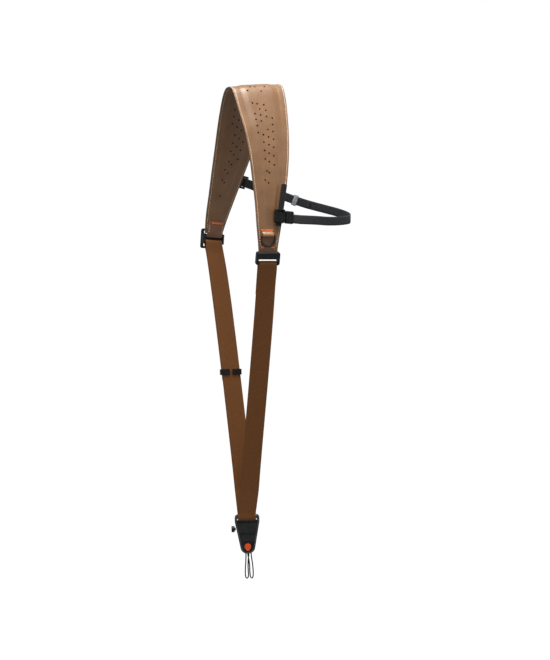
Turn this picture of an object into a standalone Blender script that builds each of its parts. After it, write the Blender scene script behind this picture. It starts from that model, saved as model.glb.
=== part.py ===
"""Camera strap: a padded leather shoulder pad, a webbing strap with its buckles and
a hanging connector, and a thin strap that passes under the arm. Metres, +Z up.

The wearer faces -Y, so the front of the strap hangs at -Y and its back at +Y. The
strap's width lies along X at the crest. The origin is on the underside of the
crest of the pad, where the shoulder is.
"""

from math import cos, hypot, pi, radians, sin

import bmesh
import bpy
import numpy as np
from mathutils import Matrix, Vector

# Driving sizes of the whole strap
STRAP_DROP = 0.5727        # height from the pad's crest to the connector's bar
SPREAD = 0.0755            # half of the distance between front and back, at the widest
SWAY = 0.0216              # how far the pad's ends swing towards -X
PAD_WIDTH = 0.0748         # width of the pad at its crest
PAD_FRONT_DROP = 0.2065    # height from the crest to the pad's front end
PAD_BACK_DROP = 0.197      # and to its back end

# Pad section
PAD_EDGE = 0.0030          # thickness of the stitched margin
PAD_OUTER_RISE = 0.0013    # how far the padding stands out over the margin
PAD_INNER_RISE = 0.0013    # and on the side that touches the shoulder
PAD_MARGIN = 0.0100        # width of the flat margin
PAD_SLOPE = 0.0095         # width of the slope from the margin to the padding
PAD_FADE = 0.030           # length over which the padding runs out at each end
HOLE_RADIUS = 0.00125
EDGE_ROUND = 0.0008        # how far the moulded edges are rounded off

# Webbing and leather strips
WEB_WIDTH = 0.0250
WEB_THICK = 0.0016
FOLD_WIDTH = 0.0243        # the webbing's width where it is drawn in round a bar
LEATHER_THICK = 0.0016
END_TAB_WIDTH = 0.0232
TAB_GAP = 0.0007           # between those tabs and the pad's curved inner face
GAP = 0.0003               # clearance between pieces that touch

# Where things sit on the strap, as heights below the crest
FRONT_BUCKLE_BELOW = 0.0055   # the front buckle's seat, below the pad's front end
BACK_BUCKLE_BELOW = 0.0090    # and the back one's, below its back end
FRONT_BUCKLE_DROP = PAD_FRONT_DROP + FRONT_BUCKLE_BELOW
BACK_BUCKLE_DROP = PAD_BACK_DROP + BACK_BUCKLE_BELOW
FRONT_TAB_RISE = 0.0320    # how far the tabs reach up the pad's inner face from the buckles
BACK_TAB_RISE = 0.0260
RETURN_LENGTH = 0.0500     # the sewn return behind the front buckle
TAIL_LENGTH = 0.1860       # the free tail, from the back buckle down
KEEPER_OVER_END = 0.0115   # the keeper's place above the tail's end
RETURN_END_DROP = FRONT_BUCKLE_DROP + RETURN_LENGTH
TAIL_END_DROP = BACK_BUCKLE_DROP + TAIL_LENGTH
KEEPER_DROP = TAIL_END_DROP - KEEPER_OVER_END

# Where the webbing is laid through: return and tail as shares of their length from the
# buckle, the legs as shares of the height from there to the connector's bar
FRONT_RETURN = (1.0, 0.80, 0.64, 0.48, 0.34)
OFF_BAR = (0.0, 0.0, 0.0004, 0.0010, 0.0016)   # how its layers part towards the front bar
FRONT_LEG = (0.026, 0.092, 0.173, 0.288, 0.418, 0.549, 0.680, 0.794, 0.876)
BACK_TAIL = (0.051, 0.086, 0.129, 0.183, 0.247, 0.344, 0.478, 0.640, 0.774, 0.903, 0.973)
BACK_LEG = (0.074, 0.244, 0.443, 0.642, 0.784)
OFF_SLIDER = (0.0021, 0.0013)   # how far out the tail starts under the back buckle
# and beside the connector's bar: up, out, width
TO_BAR = ((0.022, 0.0043, 0.0250), (0.014, 0.0040, 0.0247), (0.007, 0.0032, FOLD_WIDTH))

# The strap's two halves follow one table, from the crest to the connector's bar.
# drop: share of STRAP_DROP; spread: share of SPREAD; sway: share of SWAY
# front_turn, back_turn: how the width turns about Z, in degrees
# front_lean, back_lean: how far the +X edge hangs lower, in degrees
STRAP_COLUMNS = ("drop", "spread", "sway", "front_turn", "back_turn", "front_lean", "back_lean")
STRAP_ROWS = (
    (0.0000, 0.000, 0.00, 0.0, 0.0, -1.7, -1.7),
    (0.0042, 0.110, 0.01, 0.0, 0.0, -1.6, -1.6),
    (0.0202, 0.207, 0.03, -1.0, 0.0, -1.2, -1.2),
    (0.0524, 0.331, 0.06, -2.0, -1.0, 0.0, 0.5),
    (0.0960, 0.483, 0.11, -2.0, -2.0, 1.0, 2.0),
    (0.1484, 0.629, 0.22, -3.5, -2.0, 1.5, 3.5),
    (0.2008, 0.748, 0.40, -6.0, -1.0, 2.0, 5.0),
    (0.2532, 0.850, 0.61, -7.0, -1.0, 2.0, 6.5),
    (0.3056, 0.940, 0.84, -9.5, 0.0, 2.0, 7.0),
    (0.3491, 0.990, 0.99, -12.0, 1.0, 2.0, 7.0),
    (0.3670, 0.982, 1.00, -12.5, -1.0, 2.0, 7.0),
    (0.3876, 0.953, 0.96, -12.5, -3.0, 2.0, 6.0),
    (0.4278, 0.881, 0.90, -14.0, -8.0, 1.0, 4.0),
    (0.5064, 0.754, 0.81, -19.5, -13.5, 0.0, 2.0),
    (0.5937, 0.617, 0.74, -25.5, -16.0, 0.0, 1.0),
    (0.6984, 0.454, 0.67, -28.0, -18.0, 0.0, 0.5),
    (0.8040, 0.290, 0.61, -27.5, -24.0, 0.0, 0.0),
    (0.9118, 0.130, 0.55, -27.0, -27.0, -0.6, -0.6),
    (0.9637, 0.066, 0.53, -27.0, -27.0, -1.2, -1.2),
    (1.0000, 0.041, 0.52, -27.0, -27.0, -1.6, -1.6),
)
EVEN = 1.0
ODD = -1.0
COLUMN_PARITY = {"spread": ODD}

# Width of the pad. drop: share of PAD_FRONT_DROP; width: share of PAD_WIDTH
PAD_WIDTH_ROWS = (
    (0.00, 1.000), (0.06, 0.982), (0.15, 0.930), (0.27, 0.848), (0.41, 0.752),
    (0.56, 0.648), (0.70, 0.540), (0.85, 0.435), (0.94, 0.363), (1.00, 0.328),
)

# Punched holes, charted by hand. run: distance along the pad from the crest, as a
# share of HOLE_RUN; across: shares of the pad's width, in rows that slant a little
HOLE_RUN = 0.100
FRONT_SLANT = (0.00, 0.56)  # how much farther down a hole is towards +X: at the
BACK_SLANT = (0.35, 0.40)   # crest, and what it gains for each HOLE_RUN
FRONT_HOLES = (
    (0.084, (-0.15, -0.06, 0.13)), (0.150, (-0.23, 0.03)),
    (0.341, (-0.20, -0.11, 0.02)), (0.413, (-0.08, 0.04)),
    (0.500, (-0.20, -0.09, 0.03, 0.145)), (0.588, (-0.21, -0.10, 0.13)),
    (0.680, (-0.21, 0.01, 0.12)), (0.780, (-0.22, -0.11, 0.005, 0.115)),
    (0.885, (-0.12, -0.005, 0.105)), (1.000, (-0.13, -0.02, 0.095)),
    (1.115, (-0.13, -0.03, 0.10)), (1.260, (-0.10, -0.035)), (1.400, (-0.16, -0.06)),
)
BACK_HOLES = (
    (0.130, (-0.18, -0.03, 0.12)), (0.300, (-0.10, 0.05)), (0.484, (-0.22, -0.10, 0.03)),
    (0.584, (-0.21, -0.08, 0.05)), (0.690, (-0.21, -0.08, 0.036, 0.14)),
    (0.810, (-0.09, 0.033, 0.145)), (0.930, (-0.095, 0.022, 0.137)),
    (1.052, (-0.105, 0.00, 0.145)), (1.185, (-0.08, 0.01)), (1.330, (-0.145, -0.045)),
    (1.480, (-0.16, -0.08)), (1.680, (-0.12,)),
)

# Front buckle: a wide bar in front, a bar for the leather behind it, one for the webbing
FRONT_BUCKLE_WIDTH = 0.0310
FRONT_BUCKLE_TOP = 0.0062
FRONT_BUCKLE_FOOT = 0.0110
FACE_BAR_LOW = 0.0028      # lower edge of the wide bar, below the buckle's seat
FACE_BAR_IN = 0.0024       # its inner face, outwards from the strap's middle
FACE_BAR_THICK = 0.0024
CHEEK = 0.0027             # width of the two side cheeks
CORNER = 0.0026            # rounding of both buckles' corners, seen from the front
BAR_COVER = 0.0003         # how far the cheeks stand over a round bar's end
LEATHER_BAR_RADIUS = 0.0014
FRONT_LEATHER_BAR = (0.0013, -0.0012)   # up, out
WEB_BAR_RADIUS = 0.0015
FRONT_WEB_BAR = (-0.0090, 0.0010)

# Back buckle: a three-bar slider on the outer side
BACK_BUCKLE_WIDTH = 0.0325
BACK_BUCKLE_TOP = 0.0150
BACK_BUCKLE_FOOT = 0.0115
SLIDER_IN = 0.0034
SLIDER_THICK = 0.0034
SLIDER_BAR = 0.0030
SLIDER_CHEEK = 0.0035
SLIDER_MIDDLE = (-0.0003, 0.0046)   # lower and upper edge of the flat bar in its outer face
LUG_IN = -0.0017           # how far in the cheeks reach to carry the round bars
LUG_ROOM = 0.0007          # material round the ends of those bars
BACK_LEATHER_BAR = (0.0065, -0.0001)
BACK_MID_BAR = (0.0018, 0.0008)
MID_BAR_RADIUS = 0.0009
BACK_WEB_BAR = (-0.0029, 0.0004)

# Tail keeper
KEEPER_HEIGHT = 0.0078
KEEPER_WALL = 0.0013
KEEPER_SLOT = 0.0036
KEEPER_GAP = 0.0005        # clearance round the webbing, which is turned a little

# Connector, in its own frame: x across, y up, z to the front, origin on its bar
BAR_RADIUS = 0.0020
FRAME_HALF = 0.0166        # half width at the shoulders
FRAME_TOP = 0.0040
FRAME_CORNER = 0.0045        # rounding of its upper corners
EYE_HALF = FOLD_WIDTH / 2 + GAP   # half width of the opening that the webbing passes
FRAME_SHOULDER = -0.0060   # where the sides start to taper
FRAME_LOW_HALF = 0.0100    # half width where the foot's curve starts
FRAME_LOW = -0.0415
FRAME_FOOT = -0.0505
FRAME_RIM = 0.0027         # width of the ring's sides
FRAME_THICK = 0.0050
CORE_TOP = -0.0046
STRIP_LOW = -0.0075         # lower edge of the sunk strip at the plate's top
STRIP_OUT = 0.0008
GROOVE_TOP = -0.0204        # the curved groove between its two raised fields
GROOVE_SAG = 0.0016        # how much lower the groove's edge is at the sides
GROOVE_LOW = -0.0239
GROOVE_OUT = 0.0012
SECOND_OUT = 0.0022        # height of the lower field
CORE_STEP = -0.0330        # where the thick plate ends and the button's bed starts
CORE_OUT = 0.0030
CORE_BED = 0.0006
CORE_BACK = -0.0036
CORE_FLANGE = 0.0008       # thickness of its flange behind the ring
BUTTON_HALF = 0.0045
BUTTON_TOP = -0.0360
BUTTON_TIP = -0.0465
BUTTON_OUT = 0.0038
BUTTON_TRAVEL = 0.0012
BUTTON_BED = -0.0014       # floor of the button's pocket
KNOB_AT = -0.0160
KNOB_RADIUS = 0.0042
KNOB_THICK = 0.0042
KNOB_NECK_RADIUS = 0.0022
KNOB_NECK = 0.0016

# Cord loops under the connector: routes in the connector's frame, chosen by hand
CORD_RADIUS = 0.00085
CORD_HOLE_RADIUS = 0.00115
CORD_HOLE_DEPTH = 0.0018
CORD_STEPS = 54
# x across, y below the ring's foot, z to the front
LEFT_CORD = (
    (-0.0028, 0.0015, 0.0006), (-0.0029, -0.0036, 0.0009), (-0.0033, -0.0101, 0.0009),
    (-0.0039, -0.0174, 0.0006), (-0.0043, -0.0245, 0.0002), (-0.0044, -0.0296, 0.0),
    (-0.0038, -0.0331, 0.0), (-0.0023, -0.0345, 0.0), (-0.0008, -0.0331, 0.0),
    (-0.0002, -0.0296, -0.0002), (-0.0003, -0.0245, -0.0005), (-0.0004, -0.0174, -0.0009),
    (0.0000, -0.0101, -0.0012), (0.0008, -0.0036, -0.0013), (0.0014, 0.0015, -0.0010),
)
RIGHT_CORD = (
    (-0.0004, 0.0015, 0.0010), (0.0001, -0.0036, 0.0013), (0.0010, -0.0090, 0.0013),
    (0.0016, -0.0162, 0.0010), (0.0017, -0.0235, 0.0006), (0.0020, -0.0294, 0.0002),
    (0.0026, -0.0330, 0.0), (0.0041, -0.0345, 0.0), (0.0056, -0.0330, 0.0),
    (0.0062, -0.0294, 0.0), (0.0062, -0.0223, -0.0003), (0.0057, -0.0151, -0.0006),
    (0.0050, -0.0090, -0.0007), (0.0044, -0.0036, -0.0007), (0.0042, 0.0015, -0.0006),
)

# D-ring and its tab on the pad's front end
RING_WIRE = 0.0010
RING_WIDTH = 0.0205
RING_HEIGHT = 0.0157
RING_OVER_BUCKLE = 0.0262
RING_DROP = FRONT_BUCKLE_DROP - RING_OVER_BUCKLE
RING_ASIDE = -0.0021
RING_RESTS_IN = 8.0        # degrees that the ring leans in until it lies on the pad
RING_TAB_WIDTH = 0.0146    # at the ring's bar
RING_TAB_HEAD = 0.0160     # and at its upper end
RING_TAB_THICK = 0.0012
RING_TAB_RISE = 0.0043     # how far the tab reaches up from the ring's bar
RING_CORNER = 0.0020

# Rails on the pad's margin, the side release on the front one, the slider on the back one
RAIL_OVER_RING = 0.0118    # the rails' lower end, above the ring's bar
RAIL_SPAN = 0.0515
RAIL_FOOT_DROP = RING_DROP - RAIL_OVER_RING
RAIL_TOP_DROP = RAIL_FOOT_DROP - RAIL_SPAN
RAIL_HEAD = 0.0076
RAIL_HEAD_THICK = 0.0020
RAIL_STEM = 0.0040
RAIL_STEM_THICK = 0.0017
RAIL_INSET = 0.0052        # from the pad's edge to the rail's middle
RAIL_SEAT = 0.0006         # clearance under the straight rail
SOCKET_OVER_FOOT = 0.0115  # the release's middle, above the rail's lower end
SOCKET_DROP = RAIL_FOOT_DROP - SOCKET_OVER_FOOT
SOCKET_HEIGHT = 0.0170
SOCKET_TURN = 7.0          # degrees that the release is turned on the rail, +X end up
SOCKET_IN = 0.0082         # the socket's reach towards -X from the rail's middle
SOCKET_OUT = 0.0056        # and towards +X
SOCKET_TOP = 0.0046        # how far it stands over the rail's head
SOCKET_CLEAR = 0.0022      # height of its free end over the rail's foot plane
STEP_IN = 0.0002           # how much smaller its free end is than its body
PLUG_LENGTH = 0.0118
PLUG_HEIGHT = 0.0160
PLUG_THICK = 0.0056
PLUG_BELOW = 0.0008        # how much lower the plug sits than the socket
PLUG_SLOT_BELOW = 0.0020   # and the strap in it
CARRIAGE_UNDER_TOP = 0.0030   # the slider's middle, below the rail's upper end
CARRIAGE_DROP = RAIL_TOP_DROP + CARRIAGE_UNDER_TOP
CARRIAGE_HEIGHT = 0.0185
CARRIAGE_HALF = 0.0062
CARRIAGE_TOP = 0.0030
CARRIAGE_ARM = 0.0112      # reach of its plate towards the underarm strap
CARRIAGE_BAR_OUT = 0.0152  # from the rail's middle to the bar for the underarm strap
CARRIAGE_BAR_Z = 0.0040    # that bar's height over the rail's foot plane
CARRIAGE_BAR_RADIUS = 0.0012
RELEASE_OUT = RAIL_STEM_THICK + RAIL_HEAD_THICK + SOCKET_TOP
PLUG_OUT = RELEASE_OUT - 0.0006
PLUG_SLOT_Z = PLUG_OUT - PLUG_THICK / 2
PLUG_RIBS = (0.20, 0.46)   # where the two ribs stand, as shares of the plug's length
PLUG_RIB_HALF = 0.0009
PLUG_ROUND = 0.0012

# Underarm strap
ARM_WIDTH = 0.0115
ARM_THICK = 0.0014
ARM_SLIDER_HEIGHT = 0.0150
ARM_SLIDER_LENGTH = 0.0062
ARM_SLIDER_WALL = 0.0011
# Route from the back carriage to the plug: out, along Y, drop; shares of ARM_REACH,
# SPREAD and STRAP_DROP, chosen by hand
ARM_REACH = 0.141
ARM_ROUTE = (
    (0.326, 0.861, 0.2432), (0.440, 0.841, 0.2521), (0.560, 0.795, 0.2618),
    (0.688, 0.709, 0.2742), (0.801, 0.596, 0.2841), (0.901, 0.450, 0.2920),
    (0.972, 0.258, 0.2983), (1.000, 0.040, 0.3031), (0.975, -0.185, 0.3060),
    (0.904, -0.397, 0.3068), (0.801, -0.570, 0.3060), (0.670, -0.709, 0.3045),
    (0.518, -0.828, 0.3015), (0.362, -0.927, 0.2967),
)
ARM_SLIDER_OUT = 0.685     # where the slider sits, as a share of ARM_REACH
ARM_POINTS = 44            # steps along the route
ARM_TAIL_STEPS = 3         # steps that the tail runs on past the slider

PAD_STATIONS = 25          # sections from the crest to each end
CIRCLE = 12                # sides of a round bar
SMOOTH_ANGLE = radians(38)   # flatter edges than this are shaded smooth


def clear_scene():
    """Remove whatever the scene holds."""
    for old in list(bpy.data.objects):
        bpy.data.objects.remove(old)


def make_collection(name):
    """Add a collection to the scene."""
    made = bpy.data.collections.new(name)
    bpy.context.scene.collection.children.link(made)
    return made


clear_scene()
PARTS = make_collection("camera_strap")
CUTTERS = make_collection("cutters")
CUTTERS.hide_render = True


def finish(name, colour, roughness, metallic=0.0):
    """Return a plain surface with this colour."""
    made = bpy.data.materials.new(name)
    made.use_nodes = True
    shader = made.node_tree.nodes["Principled BSDF"]
    shader.inputs["Base Color"].default_value = (*colour, 1.0)
    shader.inputs["Roughness"].default_value = roughness
    shader.inputs["Metallic"].default_value = metallic
    return made


LEATHER = (0.36, 0.19, 0.10)
WEBBING = (0.17, 0.075, 0.035)
BLACK = (0.015, 0.015, 0.017)
ORANGE = (0.80, 0.16, 0.04)
GREY = (0.16, 0.16, 0.165)


# Reading the strap's table

def slopes(xs, ys):
    """Slope of a smooth curve at each row."""
    made = [(ys[1] - ys[0]) / (xs[1] - xs[0])]
    for before, after in zip(range(len(xs) - 2), range(2, len(xs))):
        made.append((ys[after] - ys[before]) / (xs[after] - xs[before]))
    made.append((ys[-1] - ys[-2]) / (xs[-1] - xs[-2]))
    return made


def smooth_column(xs, ys, parity=EVEN):
    """Return a smooth function through rows that start at the crest."""
    mirrored_x = [-xs[1]] + list(xs)
    mirrored_y = [parity * ys[1]] + list(ys)
    slope = slopes(mirrored_x, mirrored_y)

    def value(x):
        x = min(max(x, xs[0]), xs[-1])
        i = 1
        while i < len(mirrored_x) - 2 and x > mirrored_x[i + 1]:
            i += 1
        step = mirrored_x[i + 1] - mirrored_x[i]
        t = (x - mirrored_x[i]) / step
        return (
            mirrored_y[i] * (2 * t**3 - 3 * t**2 + 1)
            + mirrored_y[i + 1] * (3 * t**2 - 2 * t**3)
            + slope[i] * step * (t**3 - 2 * t**2 + t)
            + slope[i + 1] * step * (t**3 - t**2)
        )

    return value


def strap_runs():
    """Distance along the strap from the crest to each row."""
    runs = [0.0]
    for upper, lower in zip(STRAP_ROWS, STRAP_ROWS[1:]):
        down = (lower[0] - upper[0]) * STRAP_DROP
        apart = (lower[1] - upper[1]) * SPREAD
        runs.append(runs[-1] + hypot(down, apart))
    return runs


RUNS = strap_runs()
STRAP = {
    name: smooth_column(RUNS, [row[i] for row in STRAP_ROWS], COLUMN_PARITY.get(name, EVEN))
    for i, name in enumerate(STRAP_COLUMNS)
}
PAD_SHARE = smooth_column([row[0] for row in PAD_WIDTH_ROWS], [row[1] for row in PAD_WIDTH_ROWS])
PAD_UNDER = PAD_EDGE / 2 + PAD_INNER_RISE
FRONT = -1.0
BACK = 1.0


def run_at(drop):
    """Distance along the strap to a height below the crest."""
    low, high = 0.0, RUNS[-1]
    for _ in range(40):
        middle = (low + high) / 2
        if STRAP["drop"](middle) * STRAP_DROP < drop:
            low = middle
        else:
            high = middle
    return (low + high) / 2


def middle_line(side, run):
    """Point on the strap's middle line, and the direction of its width."""
    name = "front" if side < 0 else "back"
    turn = radians(STRAP[name + "_turn"](run))
    lean = radians(STRAP[name + "_lean"](run))
    point = Vector((
        -SWAY * STRAP["sway"](run),
        side * SPREAD * STRAP["spread"](run),
        PAD_UNDER - STRAP_DROP * STRAP["drop"](run),
    ))
    across = Vector((cos(turn) * cos(lean), sin(turn) * cos(lean), -sin(lean)))
    return point, across


def strap_frame(side, run):
    """Point, width direction and outward direction of the strap."""
    point, across = middle_line(side, run)
    step = 0.002
    above = middle_line(side, max(run - step, 0.0))[0]
    below = middle_line(side, run + step)[0]
    forward = (below - above) * side
    outward = across.cross(forward).normalized()
    return point, across, outward


def spot(side, drop, aside=0.0, lift=0.0):
    """Point beside and over the strap's middle surface at a height."""
    point, across, outward = strap_frame(side, run_at(drop))
    return point + across * aside + outward * lift


def frame_matrix(point, up, outward):
    """Right-handed frame with y up along a piece and z away from the wearer."""
    z = outward.normalized()
    y = (up - z * up.dot(z)).normalized()
    x = y.cross(z)
    return Matrix((
        (x.x, y.x, z.x, point.x),
        (x.y, y.y, z.y, point.y),
        (x.z, y.z, z.z, point.z),
        (0.0, 0.0, 0.0, 1.0),
    ))


def seat(side, drop):
    """Frame of a rigid piece that sits on the strap."""
    point, across, outward = strap_frame(side, run_at(drop))
    up = outward.cross(across) * (1.0 if side < 0 else -1.0)
    return frame_matrix(point, up, outward)


# Making solids

def add_mesh(name, bm, material, collection=PARTS):
    """Turn a bmesh into an object in a collection."""
    mesh = bpy.data.meshes.new(name)
    bm.to_mesh(mesh)
    bm.free()
    made = bpy.data.objects.new(name, mesh)
    collection.objects.link(made)
    if material:
        mesh.materials.append(material)
    return made


def loft(name, rings, material, collection=PARTS):
    """Closed solid through rings of points, with flat ends."""
    bm = bmesh.new()
    rows = [[bm.verts.new(p) for p in ring] for ring in rings]
    count = len(rows[0])
    for one, two in zip(rows, rows[1:]):
        for i in range(count):
            j = (i + 1) % count
            bm.faces.new((one[i], one[j], two[j], two[i]))
    bm.faces.new(list(reversed(rows[0])))
    bm.faces.new(rows[-1])
    bmesh.ops.triangulate(bm, faces=[f for f in bm.faces if len(f.verts) > 4])
    bmesh.ops.recalc_face_normals(bm, faces=bm.faces[:])
    return add_mesh(name, bm, material, collection)


def ribbon(name, path, thick, material):
    """Flat band along a path of (point, width direction, width)."""
    rings = []
    for i, (point, across, width) in enumerate(path):
        before = path[max(i - 1, 0)][0]
        after = path[min(i + 1, len(path) - 1)][0]
        along = (after - before).normalized()
        side = across.normalized() * (width / 2)
        up = side.cross(along).normalized() * (thick / 2)
        rings.append([point - side - up, point + side - up, point + side + up, point - side + up])
    return smooth(loft(name, rings, material))


def place(made, matrix):
    """Put an object in a frame, with the frame in its mesh."""
    made.data.transform(matrix)
    return made


def smooth(made):
    """Shade the round faces smooth and keep the hard edges."""
    made.data.shade_smooth()
    made.data.set_sharp_from_angle(angle=SMOOTH_ANGLE)
    return made


def block(name, low, high, material=None, collection=CUTTERS, round_off=0.0):
    """Box between two corners, with its edges rounded off where asked."""
    bm = bmesh.new()
    bmesh.ops.create_cube(bm, size=1.0)
    size = Vector(high) - Vector(low)
    bmesh.ops.scale(bm, vec=size, verts=bm.verts)
    bmesh.ops.translate(bm, vec=(Vector(high) + Vector(low)) / 2, verts=bm.verts)
    if round_off:
        bmesh.ops.bevel(
            bm, geom=bm.edges[:], offset=round_off, offset_type="OFFSET", segments=1,
            profile=0.5, affect="EDGES", material=-1,
        )
    return add_mesh(name, bm, material, collection)


def rod(name, start, end, radius, sides=CIRCLE, material=None, collection=CUTTERS):
    """Round bar between two points."""
    start = Vector(start)
    end = Vector(end)
    bm = bmesh.new()
    bmesh.ops.create_cone(
        bm, cap_ends=True, segments=sides, radius1=radius, radius2=radius,
        depth=(end - start).length,
    )
    turn = (end - start).to_track_quat("Z", "Y").to_matrix().to_4x4()
    bmesh.ops.transform(bm, matrix=Matrix.Translation((start + end) / 2) @ turn, verts=bm.verts)
    return add_mesh(name, bm, material, collection)


def plate(name, outlines, low, high, material=None, collection=CUTTERS, round_off=0.0):
    """Flat piece from a closed outline and its holes, between two heights."""
    curve = bpy.data.curves.new(name, "CURVE")
    curve.dimensions = "2D"
    curve.fill_mode = "BOTH"
    curve.extrude = (high - low) / 2 - round_off
    curve.bevel_depth = round_off
    curve.bevel_resolution = 0
    curve.offset = -round_off
    curve.render_resolution_u = 0
    for outline in outlines:
        spline = curve.splines.new("POLY")
        spline.points.add(len(outline) - 1)
        for point, (x, y) in zip(spline.points, outline):
            point.co = (x, y, 0.0, 1.0)
        spline.use_cyclic_u = True
    flat = bpy.data.objects.new(name, curve)
    collection.objects.link(flat)
    made = to_mesh(flat)
    made.data.transform(Matrix.Translation((0.0, 0.0, (high + low) / 2)))
    if material:
        made.data.materials.clear()
        made.data.materials.append(material)
    return made


def to_mesh(made):
    """Replace a curve, or an object with modifiers, by its welded mesh."""
    bpy.context.view_layer.update()
    graph = bpy.context.evaluated_depsgraph_get()
    mesh = bpy.data.meshes.new_from_object(made.evaluated_get(graph))
    name = made.name
    collection = made.users_collection[0]
    matrix = made.matrix_world.copy()
    bpy.data.objects.remove(made)
    bm = bmesh.new()
    bm.from_mesh(mesh)
    bmesh.ops.remove_doubles(bm, verts=bm.verts, dist=1e-6)
    bmesh.ops.recalc_face_normals(bm, faces=bm.faces[:])
    bm.to_mesh(mesh)
    bm.free()
    solid = bpy.data.objects.new(name, mesh)
    solid.matrix_world = matrix
    collection.objects.link(solid)
    return solid


def boolean(made, tools, operation):
    """Cut or join an object by others, which are then removed."""
    for tool in tools:
        modifier = made.modifiers.new(tool.name, "BOOLEAN")
        modifier.operation = operation
        modifier.solver = "EXACT"
        modifier.object = tool
    solid = to_mesh(made)
    for tool in tools:
        bpy.data.objects.remove(tool)
    return solid


def build(name, pieces, cuts, material, matrix=None, parent=None):
    """One part from joined pieces less the cuts, placed in a frame or under a parent."""
    body = pieces[0]
    if len(pieces) > 1:
        body = boolean(body, pieces[1:], "UNION")
    if cuts:
        body = boolean(body, cuts, "DIFFERENCE")
    body.name = name
    body.data.name = name
    for owner in list(body.users_collection):
        owner.objects.unlink(body)
    PARTS.objects.link(body)
    body.data.materials.clear()
    body.data.materials.append(material)
    body.parent = parent
    if matrix is not None:
        body.matrix_basis = matrix
    return smooth(body)


def tube(name, points, radius, material, matrix, parent=None, closed=False):
    """Round wire or cord through points, in a frame or under a parent."""
    curve = bpy.data.curves.new(name, "CURVE")
    curve.dimensions = "3D"
    curve.bevel_depth = radius
    curve.bevel_resolution = 2
    curve.use_fill_caps = not closed
    curve.render_resolution_u = 0
    spline = curve.splines.new("POLY")
    spline.points.add(len(points) - 1)
    for point, place_at in zip(spline.points, points):
        point.co = (*place_at, 1.0)
    spline.use_cyclic_u = closed
    wire = bpy.data.objects.new(name + " line", curve)
    PARTS.objects.link(wire)
    made = to_mesh(wire)
    return build(name, [made], [], material, matrix, parent)


def arc(centre, radius, start, end, count):
    """Points of an arc in a plane, in degrees from +x towards +y."""
    made = []
    for i in range(count + 1):
        angle = radians(start + (end - start) * i / count)
        made.append((centre[0] + radius * cos(angle), centre[1] + radius * sin(angle)))
    return made


def smooth_route(points, count):
    """Points spaced evenly along a smooth curve through a list of points."""
    dense = []
    last = len(points) - 1
    for i in range(last):
        a = points[max(i - 1, 0)]
        b = points[i]
        c = points[i + 1]
        d = points[min(i + 2, last)]
        for k in range(12):
            t = k / 12
            dense.append(0.5 * (
                2 * b + (c - a) * t + (2 * a - 5 * b + 4 * c - d) * t**2
                + (3 * b - a - 3 * c + d) * t**3
            ))
    dense.append(points[-1])
    runs = [0.0]
    for one, two in zip(dense, dense[1:]):
        runs.append(runs[-1] + (two - one).length)
    made = []
    for i in range(count + 1):
        wanted = runs[-1] * i / count
        k = int(np.searchsorted(runs, wanted, side="right")) - 1
        k = min(k, len(dense) - 2)
        share = (wanted - runs[k]) / (runs[k + 1] - runs[k])
        made.append(dense[k].lerp(dense[k + 1], share))
    return made


# The shoulder pad

def pad_width(run):
    """Width of the pad at a distance from its crest."""
    drop = STRAP["drop"](run) * STRAP_DROP
    return PAD_WIDTH * PAD_SHARE(drop / PAD_FRONT_DROP)


def pad_section(side, run, end_run):
    """Ring of points round the pad: margin, slope, padding, and back underneath."""
    point, across, outward = strap_frame(side, run)
    half = pad_width(run) / 2
    fade = min(max((end_run - PAD_FADE - run) / PAD_FADE, 0.0), 1.0)
    fade = fade * fade * (3 - 2 * fade)
    slope_start = half - min(PAD_MARGIN, 0.6 * half)
    slope_end = slope_start - min(PAD_SLOPE, 0.5 * slope_start)
    outer = (
        (half, 0.0), (slope_start, 0.0), (slope_end, 0.85 * fade), (slope_end / 2, fade),
    )
    top = [(x, PAD_EDGE / 2 + rise * PAD_OUTER_RISE) for x, rise in outer]
    top += [(0.0, PAD_EDGE / 2 + fade * PAD_OUTER_RISE)]
    top += [(-x, z) for x, z in reversed(top[:-1])]
    under = [(-x, -PAD_EDGE / 2 - rise * PAD_INNER_RISE) for x, rise in outer]
    under += [(0.0, -PAD_EDGE / 2 - fade * PAD_INNER_RISE)]
    under += [(-x, z) for x, z in reversed(under[:-1])]
    return [point + across * x + outward * z for x, z in top + under]


def make_pad():
    """Leather pad over the shoulder, punched through."""
    front_end = run_at(PAD_FRONT_DROP)
    back_end = run_at(PAD_BACK_DROP)
    rings = []
    for i in range(PAD_STATIONS, 0, -1):
        share = (i / PAD_STATIONS) ** 1.15
        rings.append(pad_section(FRONT, front_end * share, front_end))
    rings.append(pad_section(BACK, 0.0, back_end))
    for i in range(1, PAD_STATIONS + 1):
        share = (i / PAD_STATIONS) ** 1.15
        rings.append(pad_section(BACK, back_end * share, back_end))
    pad = loft("shoulder_pad", rings, None, CUTTERS)
    punch = bmesh.new()
    reach = PAD_EDGE + PAD_OUTER_RISE + PAD_INNER_RISE
    charts = ((FRONT, FRONT_HOLES, FRONT_SLANT), (BACK, BACK_HOLES, BACK_SLANT))
    for side, rows, slant in charts:
        for run_share, places in rows:
            for share in places:
                aside = share * pad_width(run_share * HOLE_RUN)
                run = run_share * HOLE_RUN + aside * (slant[0] + slant[1] * run_share)
                point, across, outward = strap_frame(side, run)
                turn = outward.to_track_quat("Z", "Y").to_matrix().to_4x4()
                centre = Matrix.Translation(point + across * aside)
                bmesh.ops.create_cone(
                    punch, cap_ends=True, segments=6, radius1=HOLE_RADIUS,
                    radius2=HOLE_RADIUS, depth=2 * reach, matrix=centre @ turn,
                )
    punches = add_mesh("punches", punch, None, CUTTERS)
    build("shoulder_pad", [pad], [punches], finish("tan leather", LEATHER, 0.55))


# Strips folded round bars

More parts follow.
